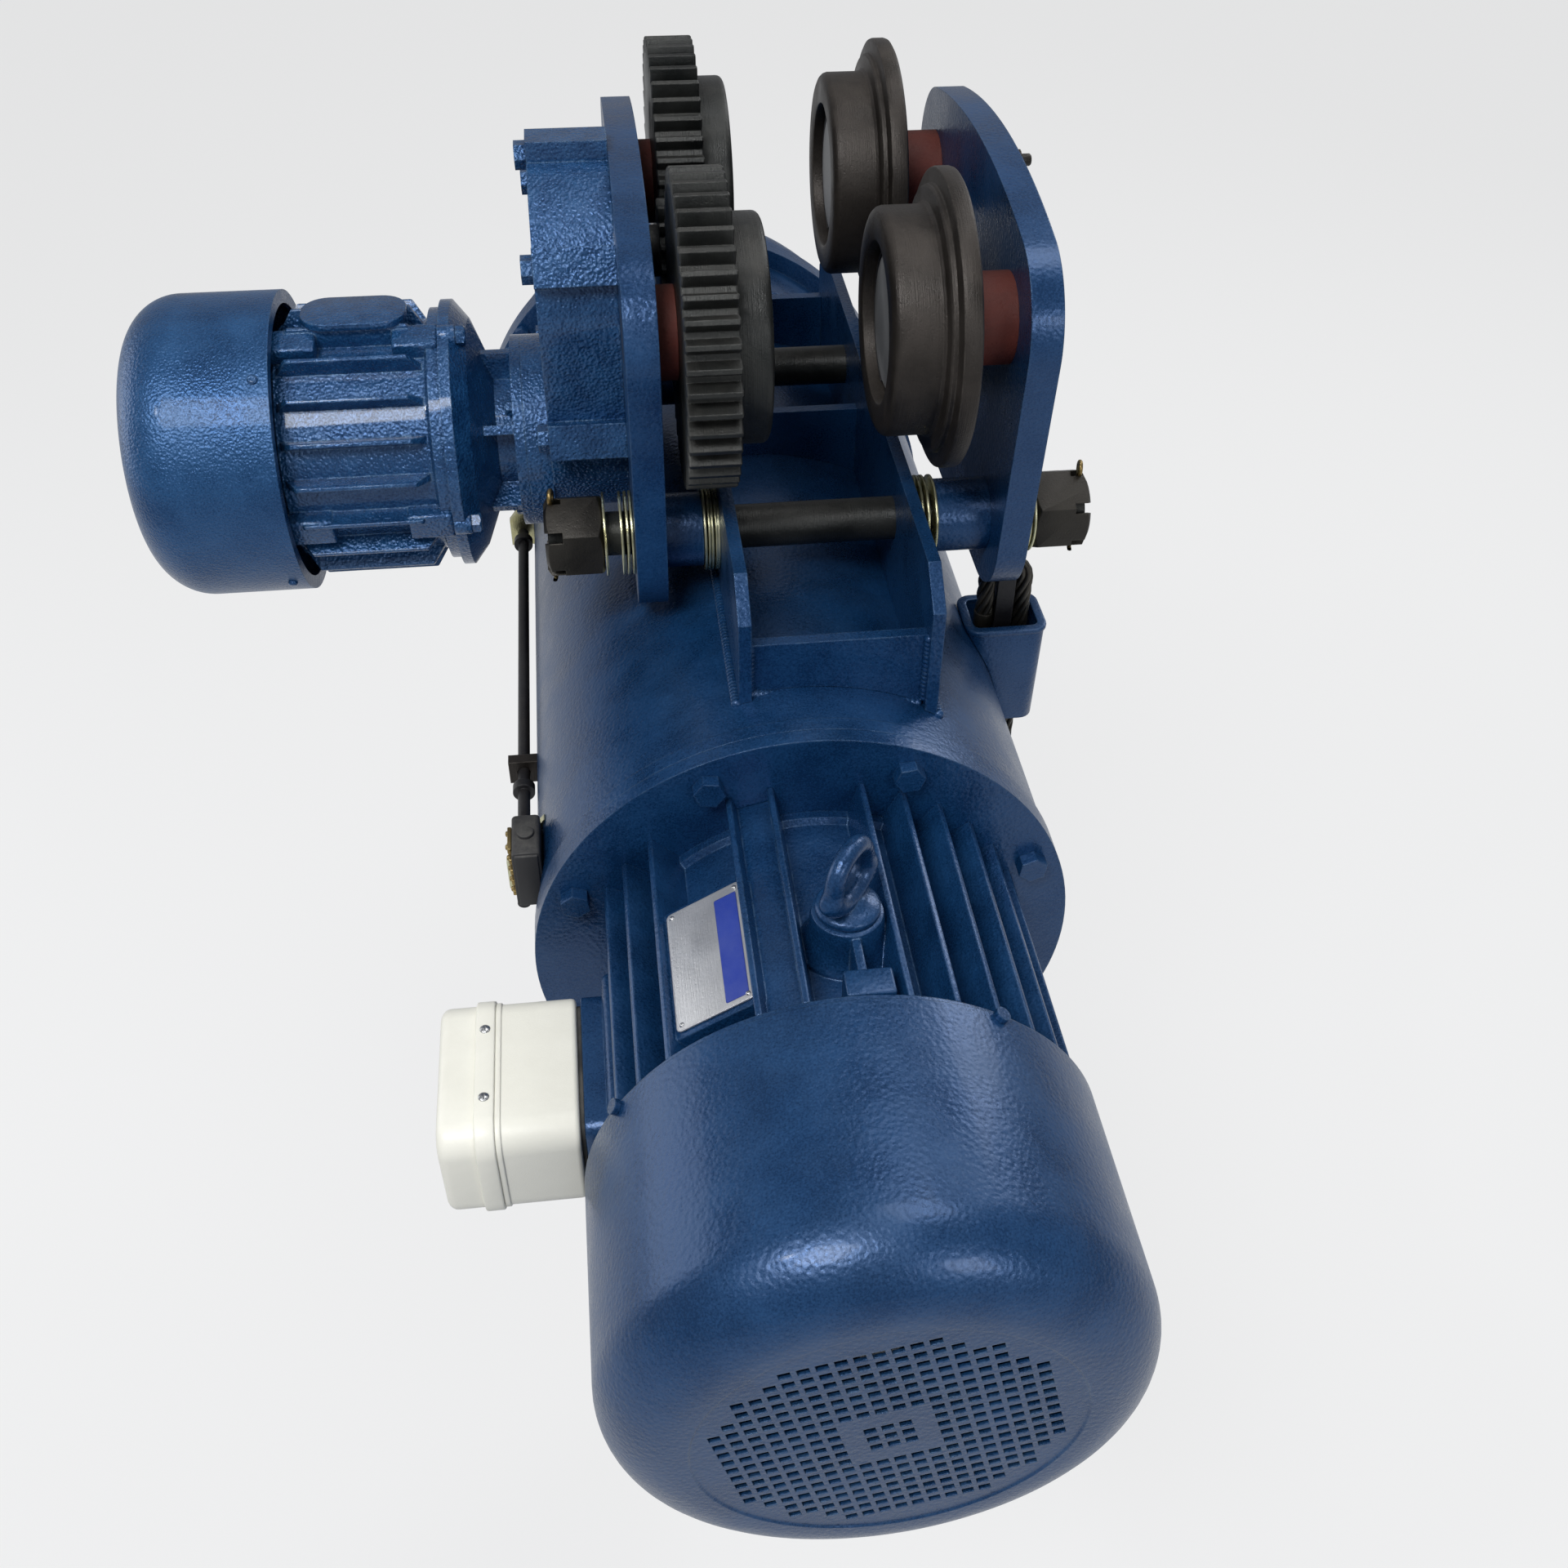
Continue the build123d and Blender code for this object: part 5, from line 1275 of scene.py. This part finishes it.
def makeMotorShell():
    x, z = motorShell["axis"]
    front, rear = motorShell["front"], motorShell["rear"]
    middle, length = (front + rear) / 2, front - rear
    outer, inner = motorShell["barrel"]
    barrel = spinOutline("Y", (x, 0, z), (
        (front, inner), (front, outer + 0.004), (front - 0.007, outer + 0.004), (front - 0.010, outer),
        (rear + 0.016, outer), (rear + 0.012, outer + 0.005), (rear, outer + 0.005), (rear, inner), (front, inner),
    ), 128)
    parts = [barrel]
    top = motorShell["ribTop"]
    foot = outer - 0.003
    rib = addBlock((x, middle, z + (top + foot) / 2), (motorShell["ribWide"] * 1.35, length, top - foot))
    taperTop(rib, z + top, (0.62, 1.0))
    bevelEdges(rib, lambda a, b: min(a.z, b.z) > z + top - 1e-5, 0.0011, 3)
    for turn in motorShell["ribTurns"]:
        parts.append(copyOf(rib, turn=aroundMotor(turn)))
    bpy.data.objects.remove(rib)
    # the flat strip between two ribs, left of the eye bolt
    strip = addBlock((x, middle, z + 0.138), (0.0250, length, 0.024))
    bevelSharp(strip, 0.0012, 2, 50)
    parts.append(turned(strip, aroundMotor(motorShell["panelTurn"])))
    long, wide = motorShell["padSize"]
    pad = addBlock((x, motorShell["eye"][1], z + (motorShell["padRadius"] + 0.120) / 2), (wide, long, motorShell["padRadius"] - 0.120))
    bevelEdges(pad, lambda a, b: abs(a.z - b.z) > 1e-3, 0.005, 4)
    bevelSharp(pad, 0.0011, 2, 60)
    parts.append(turned(pad, aroundMotor(motorShell["padTurn"])))
    eyeX, eyeY = motorShell["eye"]
    high = motorShell["bossTop"]
    parts.append(spinOutline("Z", (eyeX, eyeY, 0), (
        (high, 0.0085), (high, 0.0205), (high - 0.0012, 0.0225), (high - 0.0060, 0.0235), (high - 0.0140, 0.0240),
        (high - 0.0230, 0.0262), (high - 0.0300, 0.0310), (high - 0.0340, 0.0310), (high - 0.0340, 0.0085), (high, 0.0085),
    ), 64))
    web = addBlock((eyeX + 0.002, eyeY - 0.036, z + 0.143), (0.0085, 0.052, 0.034))
    taperTop(web, z + 0.160, (0.7, 0.94))
    bevelSharp(web, 0.0014, 2, 50)
    stop = addBlock((eyeX + 0.0045, rear + 0.010, z + 0.143), (0.030, 0.020, 0.0395))
    bevelSharp(stop, 0.0016, 3, 50)
    left, long, tall = motorShell["pedestal"]
    block = addBlock(((left + x - 0.118) / 2, eyeY, z), (x - 0.118 - left, long, tall))
    bevelEdges(block, lambda a, b: abs(a.x - b.x) > 1e-3, 0.010, 5)
    bevelSharp(block, 0.0014, 2, 60)
    foot = addBlock((x - 0.135, eyeY, z), (0.030, long + 0.020, tall + 0.018))
    bevelSharp(foot, 0.006, 4, 60)
    return joinPieces(parts + [web, stop, block, foot])


finishPiece(makeMotorShell(), "motorShell", "hoist_body", blueEnamel, 32, ("motor_frame",))
print("motor frame shaped")

# ---------- rating plate: bare silver with one plain blue field, held by four rivets
ratingPlate = {"radius": 0.1525, "thick": 0.0012, "size": (0.098, 0.056), "field": (0.086, 0.0165, 0.0165), "rivet": 0.0019}


def makePlateParts():
    x, z = motorShell["axis"]
    y = motorShell["eye"][1]
    long, wide = ratingPlate["size"]
    base = z + ratingPlate["radius"]
    top = base + ratingPlate["thick"]
    plate = addBlock((x, y, (base + top) / 2), (wide, long, top - base))
    bevelEdges(plate, lambda a, b: abs(a.z - b.z) > 1e-4, 0.0035, 5)
    editPick(plate, faceTest=lambda c, n: n.z > 0.9)
    bpy.ops.mesh.inset(thickness=0.0012)
    bpy.ops.transform.translate(value=(0, 0, 0.00025))
    bpy.ops.object.mode_set(mode="OBJECT")
    fieldLong, fieldWide, shift = ratingPlate["field"]
    field = addBlock((x + shift, y - 0.002, top + 0.0003), (fieldWide, fieldLong, 0.0003))
    bevelEdges(field, lambda a, b: abs(a.z - b.z) > 1e-5, 0.0012, 3)
    rivets = []
    for alongY in (-1, 1):
        for alongX in (-1, 1):
            middle = (x + alongX * (wide / 2 - 0.0042), y + alongY * (long / 2 - 0.0042), top + 0.0001)
            radius = ratingPlate["rivet"]
            rivets.append(spinOutline("Z", middle, ((0, 0), (0, radius), (0.0006, radius * 0.86), (0.0011, radius * 0.5), (0.0012, 0)), 20))
    return [turned(part, aroundMotor(motorShell["padTurn"])) for part in (plate, field, joinPieces(rivets))]


platePiece, fieldPiece, rivetPiece = makePlateParts()
finishPiece(platePiece, "ratingPlateSheet", "hoist_body", platedSheet, 40, ("rating_plate",))
finishPiece(fieldPiece, "ratingPlateField", "hoist_body", plateBlue, 40)
finishPiece(rivetPiece, "ratingPlateRivets", "hoist_body", chromeSteel, 50)
print("rating plate shaped")

# ---------- frame of the travel motor: tapered ribs, tie bosses and the oval lid pad
travelShell = {
    "axis": (0.0, -0.065),
    "inner": -0.263,
    "outer": -0.383,
    "barrel": (0.0865, 0.074),
    "ribTop": 0.1010,
    "ribSpan": (-0.3805, -0.2745),
    "ribWide": 0.0062,
    "ribPitch": 18.0,
    "collar": 0.0945,
    "tie": (0.023, 0.033, 0.098),
    "tieTurn": 76.0,
    "lid": (0.076, 0.046, 0.1055),
}


def aroundTravel(degrees):
    y, z = travelShell["axis"]
    return turnAbout((0, y, z), "X", degrees)


def makeTravelShell():
    y, z = travelShell["axis"]
    near, far = travelShell["inner"], travelShell["outer"]
    outer, inner = travelShell["barrel"]
    collar = travelShell["collar"]
    parts = [spinOutline("X", (0, y, z), (
        (near, inner), (near, collar), (near - 0.0085, collar), (near - 0.0110, outer + 0.0005), (near - 0.0130, outer),
        (far + 0.002, outer), (far, outer - 0.002), (far, inner), (near, inner),
    ), 112)]
    low, high = travelShell["ribSpan"]
    top, foot = travelShell["ribTop"], outer - 0.002
    rib = addBlock(((low + high) / 2, y, z + (top + foot) / 2), (high - low, travelShell["ribWide"], top - foot))
    taperTop(rib, z + top, (0.80, 0.55))
    bevelEdges(rib, lambda a, b: min(a.z, b.z) > z + top - 1e-5, 0.0012, 3)
    count = int(round(360 / travelShell["ribPitch"]))
    for number in range(count):
        parts.append(copyOf(rib, turn=aroundTravel(number * travelShell["ribPitch"] + 9)))
    bpy.data.objects.remove(rib)
    wide, long, reach = travelShell["tie"]
    for start in (near - long, far):
        for quarter in range(4):
            boss = addBlock((start + long / 2, y, z + (reach + 0.078) / 2), (long, wide, reach - 0.078))
            bevelSharp(boss, 0.0022, 3, 60)
            parts.append(turned(boss, aroundTravel(90 - travelShell["tieTurn"] + 90 * quarter)))
    long, wide, reach = travelShell["lid"]
    foot = addBlock(((near + far) / 2, y, z + 0.092), (long * 0.86, wide * 0.8, 0.020))
    bevelSharp(foot, 0.004, 3, 60)
    lid = addBlock(((near + far) / 2, y, z + reach - 0.0035), (long, wide, 0.006))
    bevelEdges(lid, lambda a, b: abs(a.z - b.z) > 1e-3, wide * 0.42, 8)
    bevelSharp(lid, 0.0014, 2, 60)
    return joinPieces(parts + [foot, lid])


finishPiece(makeTravelShell(), "travelMotorShell", "hoist_body", castEnamel, 32, ("travel_motor_frame",))
print("travel motor frame shaped")

# ---------- wedge socket and the loop of rope in it
socket = {
    "middle": (0.1645, -0.088),
    "low": (-0.300, 0.0650, 0.0440),
    "high": (-0.204, 0.0654, 0.0520),
    "corner": 0.012,
    "wall": 0.0062,
    "lip": (0.0042, 0.0022),
    "casing": (-0.028, -0.320, 0.1954),
}


def makeSocketShell():
    x, y = socket["middle"]
    (low, longLow, wideLow), (high, longHigh, wideHigh) = socket["low"], socket["high"]
    tall, out = socket["lip"]
    axisX, axisZ, radius = socket["casing"]
    parts = []
    for start, end, grow in ((low, high, 0.0), (high - tall, high, out)):
        share = (start - low) / (high - low)
        long = longLow + (longHigh - longLow) * share + grow
        wide = wideLow + (wideHigh - wideLow) * share + grow
        shell = addBlock((x, y, (start + end) / 2), (long, wide, end - start))
        editPick(shell, faceTest=lambda c, n: n.z > 0.9)
        bpy.ops.transform.resize(value=((longHigh + grow) / long, (wideHigh + grow) / wide, 1))
        bpy.ops.object.mode_set(mode="OBJECT")
        bevelEdges(shell, lambda a, b: abs(a.z - b.z) > (end - start) * 0.5, socket["corner"], 6)
        editPick(shell, faceTest=lambda c, n: abs(n.z) > 0.9)
        bpy.ops.mesh.delete(type="ONLY_FACE")
        bpy.ops.object.mode_set(mode="OBJECT")
        wall = shell.modifiers.new("wall", "SOLIDIFY")
        wall.thickness = socket["wall"] + grow / 2
        wall.offset = -1
        applyModifiers(shell)
        cutAway(shell, addRound("Y", (axisX, y, axisZ), radius, 0.3, 128))
        bevelSharp(shell, 0.0015, 3, 60)
        parts.append(shell)
    return joinPieces(parts)


finishPiece(makeSocketShell(), "wedgeSocketShell", "hoist_body", blueEnamel, 40, ("wedge_socket",))

deadEnd = {"legs": (0.1795, 0.1495), "y": -0.088, "low": -0.2897, "bend": -0.170, "tail": -0.216}


def makeDeadEnd():
    near, far = deadEnd["legs"]
    y, bend = deadEnd["y"], deadEnd["bend"]
    radius = (near - far) / 2
    rise, fallBack = bend - deadEnd["low"], bend - deadEnd["tail"]
    piece = makeStrands(rise + math.pi * radius + fallBack)
    deselectAll()
    bpy.ops.curve.primitive_bezier_curve_add(location=(0, 0, 0))
    path = bpy.context.object
    path.data.dimensions = "3D"
    path.data.resolution_u = 24
    line = path.data.splines[0]
    line.bezier_points.add(3)
    hand = radius * 0.5523
    corners = (
        # place, handle towards the last point, handle towards the next
        ((near, deadEnd["low"]), (near, deadEnd["low"] - 0.01), (near, deadEnd["low"] + rise / 3)),
        ((near, bend), (near, bend - rise / 3), (near, bend + hand)),
        (((near + far) / 2, bend + radius), ((near + far) / 2 + hand, bend + radius), ((near + far) / 2 - hand, bend + radius)),
        ((far, bend), (far, bend + hand), (far, bend - fallBack / 3)),
        ((far, deadEnd["tail"]), (far, deadEnd["tail"] + fallBack / 3), (far, deadEnd["tail"] - 0.01)),
    )
    for point, (place, before, after) in zip(line.bezier_points, corners):
        point.handle_left_type = point.handle_right_type = "FREE"
        point.co = (place[0], y, place[1])
        point.handle_left = (before[0], y, before[1])
        point.handle_right = (after[0], y, after[1])
    bend = piece.modifiers.new("bend", "CURVE")
    bend.object = path
    bend.deform_axis = "POS_Z"
    applyModifiers(piece)
    bpy.data.objects.remove(path)
    seizing = addRound("Z", (far, y, deadEnd["tail"] + 0.009), rope["radius"] + 0.0004, 0.012, 28)
    editPick(seizing, faceTest=lambda c, n: abs(n.z) > 0.9)
    bpy.ops.mesh.inset(thickness=0.0015)
    bpy.ops.object.mode_set(mode="OBJECT")
    bevelSharp(seizing, 0.0004, 2, 40)
    return joinPieces([piece, seizing])


finishPiece(makeDeadEnd(), "ropeDeadEnd", "hoist_body", greasedRope, 60, ("rope_dead_end",))
print("wedge socket and rope end shaped")

# ---------- limit switch: a slim case with brass terminals on its bracket
limitBox = {"low": (-0.2375, -0.2815, -0.3040), "high": (-0.2165, -0.2400, -0.2500), "terminals": 5, "rodX": -0.234}


def makeLimitBox():
    low, high = Vector(limitBox["low"]), Vector(limitBox["high"])
    middle, size = (low + high) / 2, high - low
    case = addBlock(middle, size)
    bevelEdges(case, lambda a, b: abs(a.y - b.y) > 0.01, 0.0035, 4)
    bevelSharp(case, 0.0009, 2, 50)
    lid = addBlock((middle.x, low.y - 0.0001, middle.z), (size.x - 0.004, 0.003, size.z - 0.004))
    bevelSharp(lid, 0.0008, 2, 50)
    boss = addRound("Z", (middle.x, middle.y, high.z + 0.0012), 0.0062, 0.0030, 24)
    bevelSharp(boss, 0.0006, 2, 50)
    return joinPieces([case, lid, boss])


def makeTerminals():
    low, high = Vector(limitBox["low"]), Vector(limitBox["high"])
    made = []
    count = limitBox["terminals"]
    for number in range(count):
        z = low.z + (number + 0.5) * (high.z - low.z) / count
        strip = addBlock((low.x - 0.0016, (low.y + high.y) / 2, z), (0.0030, 0.0240, 0.0050))
        bevelSharp(strip, 0.0006, 2, 50)
        made.append(strip)
        for y in (-0.007, 0.007):
            middle = (low.x - 0.0030, (low.y + high.y) / 2 + y, z)
            head = spinOutline("X", middle, ((0.0004, 0), (0.0004, 0.0023), (-0.0010, 0.0021), (-0.0016, 0.0012), (-0.0017, 0)), 20)
            cutAway(head, addBlock((middle[0] - 0.0016, middle[1], z), (0.0012, 0.0006, 0.0052)))
            made.append(head)
    return joinPieces(made)


finishPiece(makeLimitBox(), "limitCase", "hoist_body", switchPlastic, 40, ("limit_switch",))
finishPiece(makeTerminals(), "limitTerminals", "hoist_body", brassYellow, 40)
print("limit switch shaped")

# ---------- weld beads at the feet of the bracket
weld = {"bead": (0.0042, 0.0034), "step": 0.0036, "seams": (
    # start and end of each seam
    ((-0.0716, -0.2740, -0.1300), (-0.0716, 0.2740, -0.1300)),
    ((0.0716, -0.2740, -0.1520), (0.0716, 0.2740, -0.1520)),
    ((-0.0605, -0.2672, -0.1275), (0.0605, -0.2672, -0.1460)),
    ((-0.0605, -0.2565, -0.1275), (0.0605, -0.2565, -0.1460)),
    ((-0.0620, -0.2670, -0.0900), (-0.0620, -0.2670, -0.1270)),
    ((0.0620, -0.2670, -0.0900), (0.0620, -0.2670, -0.1450)),
)}


def makeWelds():
    bead = weld["bead"]
    seams = []
    for start, end in weld["seams"]:
        start, end = Vector(start), Vector(end)
        way = (end - start).normalized()
        deselectAll()
        bpy.ops.mesh.primitive_uv_sphere_add(segments=10, ring_count=6, radius=1, location=(0, 0, 0))
        drop = bpy.context.object
        drop.scale = (bead[0], bead[0], bead[1])
        drop.rotation_euler = way.to_track_quat("Z", "X").to_euler()
        drop.location = start
        applyPlace(drop)
        row = drop.modifiers.new("row", "ARRAY")
        row.count = max(2, int((end - start).length / weld["step"]))
        row.use_relative_offset = False
        row.use_constant_offset = True
        row.constant_offset_displace = way * weld["step"]
        applyModifiers(drop)
        seams.append(drop)
    return joinPieces(seams)


finishPiece(makeWelds(), "bracketWelds", "hoist_body", blueEnamel, 60)
print("weld beads shaped")

# ---------- stop pins on the outer face of the idler plate
stopPin = {"face": 0.152, "reach": 0.010, "radius": 0.0042, "places": ((-0.060, 0.112), (0.060, 0.112), (-0.030, 0.143))}


def makeStopPins():
    made = []
    for y, z in stopPin["places"]:
        radius = stopPin["radius"]
        made.append(spinOutline("X", (stopPin["face"], y, z), (
            (-0.001, 0), (-0.001, radius * 1.7), (0.0022, radius * 1.7), (0.0026, radius), (stopPin["reach"] - 0.001, radius),
            (stopPin["reach"], radius * 0.8), (stopPin["reach"], 0),
        ), 24))
    return joinPieces(made)


finishPiece(makeStopPins(), "stopPins", "hoist_body", nutSteel, 40)
print("stop pins shaped")

# ---------- eye bolt, turned on its seat
eyeBolt = {"place": (-0.020, -0.449), "seat": -0.157, "ring": (0.0192, 0.0063), "ringZ": -0.1260, "turn": 52.0}


def makeEyeBolt():
    x, y = eyeBolt["place"]
    z = eyeBolt["seat"]
    collar = spinOutline("Z", (x, y, 0), (
        (z - 0.022, 0), (z - 0.022, 0.0075), (z + 0.0001, 0.0075), (z + 0.0001, 0.0196), (z + 0.0012, 0.0206), (z + 0.0044, 0.0206),
        (z + 0.0058, 0.0190), (z + 0.0072, 0.0150), (z + 0.0092, 0.0112), (z + 0.0120, 0.0086), (z + 0.0140, 0.0),
    ), 56)
    major, minor = eyeBolt["ring"]
    deselectAll()
    bpy.ops.mesh.primitive_torus_add(
        location=(x, y, eyeBolt["ringZ"]), rotation=(math.pi / 2, 0, math.radians(eyeBolt["turn"])), major_radius=major,
        minor_radius=minor, major_segments=64, minor_segments=20
    )
    ring = bpy.context.object
    applyPlace(ring)
    # the foot of the ring is thicker where it grows out of the collar
    editPick(ring, faceTest=lambda c, n: c.z < eyeBolt["ringZ"] - major * 0.55)
    bpy.ops.transform.resize(value=(1.25, 1.25, 1.0), use_proportional_edit=True, proportional_size=0.012, proportional_edit_falloff="SMOOTH")
    bpy.ops.object.mode_set(mode="OBJECT")
    return joinPieces([collar, ring])


finishPiece(makeEyeBolt(), "eyeBoltRing", "hoist_body", blueEnamel, 50, ("eye_bolt",))
print("eye bolt shaped")

# ---------- bolts and screws of the travel drive
travelBolts = {
    "axis": (0.0, -0.065),
    "bellPad": (-0.2632, -0.2500, 0.0945, 0.0085),
    "bellHead": (-0.2500, 0.0070, 0.0130),
    "neckHead": (-0.2142, 0.0052, 0.0100, 0.0600),
    "coverScrew": (-0.3835, 0.1120, 0.0036),
}


def addHexHead(axis, middle, flat, high, side):
    # hexagon with a turned chamfer on top
    corner = flat / 2 / math.cos(math.pi / 6)
    along = Vector(spinWays[axis][0])
    head = addRound(axis, Vector(middle) + along * side * high / 2, corner, high, 6)
    crown = spinOutline(axis, middle, (
        (0, 0), (0, corner + 0.001), (side * (high - corner * 0.22), corner + 0.0001), (side * high, corner * 0.80), (side * high, 0),
    ), 36)
    shape = head.modifiers.new("crown", "BOOLEAN")
    shape.operation = "INTERSECT"
    shape.solver = "EXACT"
    shape.object = crown
    applyModifiers(head)
    bpy.data.objects.remove(crown)
    return head


def makeTravelBolts():
    y, z = travelBolts["axis"]
    made = []
    far, near, reach, radius = travelBolts["bellPad"]
    for quarter in range(4):
        turn = aroundTravel(90 - travelShell["tieTurn"] + 90 * quarter)
        pad = addRound("X", ((far + near) / 2, y, z + reach), radius, near - far, 32)
        bevelSharp(pad, 0.0014, 2, 50)
        head = addHexHead("X", (travelBolts["bellHead"][0], y, z + reach), travelBolts["bellHead"][2], travelBolts["bellHead"][1], 1)
        made += [turned(pad, turn), turned(head, turn)]
    start, high, flat, reach = travelBolts["neckHead"]
    for number in range(4):
        head = addHexHead("X", (start, y, z + reach), flat, high, -1)
        made.append(turned(head, aroundTravel(45 + 90 * number)))
    x, reach, radius = travelBolts["coverScrew"]
    for number in range(4):
        screw = spinOutline("Z", (x - 0.006, y, z + reach), ((-0.004, 0), (-0.004, radius), (0.0012, radius), (0.0026, radius * 0.7), (0.003, 0)), 24)
        made.append(turned(screw, aroundTravel(38 + 90 * number)))
    return joinPieces(made)


finishPiece(makeTravelBolts(), "travelBolts", "hoist_body", castEnamel, 35)
print("travel drive bolts shaped")

# ---------- hook block: spacer bolts between the cheeks and the keeper plates of the axle
blockParts = {
    "middle": (-0.003075, -0.088, -0.810),
    "cheeks": (-0.137, -0.039),
    "inside": (-0.129, -0.047),
    "spacers": ((-0.078, -0.208), (0.078, -0.208)),
    "spacerRadius": 0.0085,
    "boltFlat": 0.019,
    "boltHigh": 0.008,
    "keeper": (0.066, 0.0045, 0.018, 0.0262),
}


def makeBlockBolts():
    x, y, z = blockParts["middle"]
    front, back = blockParts["cheeks"]
    inFront, inBack = blockParts["inside"]
    made = []
    for alongX, alongZ in blockParts["spacers"]:
        place = (x + alongX, (inFront + inBack) / 2, z + alongZ)
        tube = addRound("Y", place, blockParts["spacerRadius"], inBack - inFront, 32)
        bevelSharp(tube, 0.0008, 2, 50)
        made.append(tube)
        for face, side in ((front, -1), (back, 1)):
            washerFace = addRound("Y", (place[0], face + side * 0.001, place[2]), blockParts["boltFlat"] * 0.62, 0.002, 36)
            bevelSharp(washerFace, 0.0005, 2, 50)
            made += [washerFace, addHexHead("Y", (place[0], face + side * 0.0019, place[2]), blockParts["boltFlat"], blockParts["boltHigh"], side)]
    return joinPieces(made)


def makeKeepers():
    x, y, z = blockParts["middle"]
    long, thick, wide, reach = blockParts["keeper"]
    made = []
    for face, side in ((blockParts["cheeks"][0], -1), (blockParts["cheeks"][1], 1)):
        bar = addBlock((x, face + side * thick / 2, z + reach + wide / 2), (long, thick, wide))
        bevelEdges(bar, lambda a, b: abs(a.y - b.y) > 1e-3, 0.004, 4)
        bevelSharp(bar, 0.0007, 2, 60)
        made.append(bar)
        for shift in (-0.022, 0.022):
            made.append(addHexHead("Y", (x + shift, face + side * thick, z + reach + wide / 2), 0.013, 0.0052, side))
    return joinPieces(made)


finishPiece(makeBlockBolts(), "blockBolts", "hook_block", nutSteel, 35)
finishPiece(makeKeepers(), "axleKeepers", "hook_block", yellowZinc, 35)
print("hook block bolts shaped")

# ---------- rope laid on the drum in one long screw
drumRope = {"axis": (-0.028, -0.320), "radius": 0.15765, "start": -0.088, "end": 0.2340, "pitch": 0.017, "drop": -90.0, "steps": 40}


def makeDrumRope():
    x, z = drumRope["axis"]
    turns = (drumRope["end"] - drumRope["start"]) / drumRope["pitch"]
    length = turns * math.hypot(2 * math.pi * drumRope["radius"], drumRope["pitch"])
    piece = makeStrands(length, 5, 9)
    # one corner is screwed round the drum's axis, and the line becomes the path
    deselectAll()
    bpy.ops.mesh.primitive_plane_add(size=0.01, location=(0, 0, 0))
    thread = bpy.context.object
    applyPlace(thread)
    bpy.ops.object.mode_set(mode="EDIT")
    bpy.ops.mesh.select_all(action="SELECT")
    bpy.ops.mesh.merge(type="CENTER")
    bpy.ops.transform.translate(value=(drumRope["radius"], 0, 0))
    bpy.ops.object.mode_set(mode="OBJECT")
    screw = thread.modifiers.new("thread", "SCREW")
    screw.axis = "Z"
    screw.angle = 2 * math.pi * turns
    screw.screw_offset = drumRope["pitch"] * turns
    screw.steps = screw.render_steps = int(drumRope["steps"] * turns)
    screw.use_merge_vertices = False
    applyModifiers(thread)
    # the thread's own Z runs along the drum, and its start is where the live fall leaves
    turned(thread, Matrix(((-1, 0, 0, x), (0, 0, 1, drumRope["start"]), (0, 1, 0, z), (0, 0, 0, 1))))
    makeActive(thread)
    bpy.ops.object.convert(target="CURVE")
    thread.data.dimensions = "3D"
    bend = piece.modifiers.new("bend", "CURVE")
    bend.object = thread
    bend.deform_axis = "POS_Z"
    applyModifiers(piece)
    bpy.data.objects.remove(thread)
    return piece


finishPiece(makeDrumRope(), "drumRope", "drum", greasedRope, 60, ("rope_wraps",))
print("drum rope shaped")
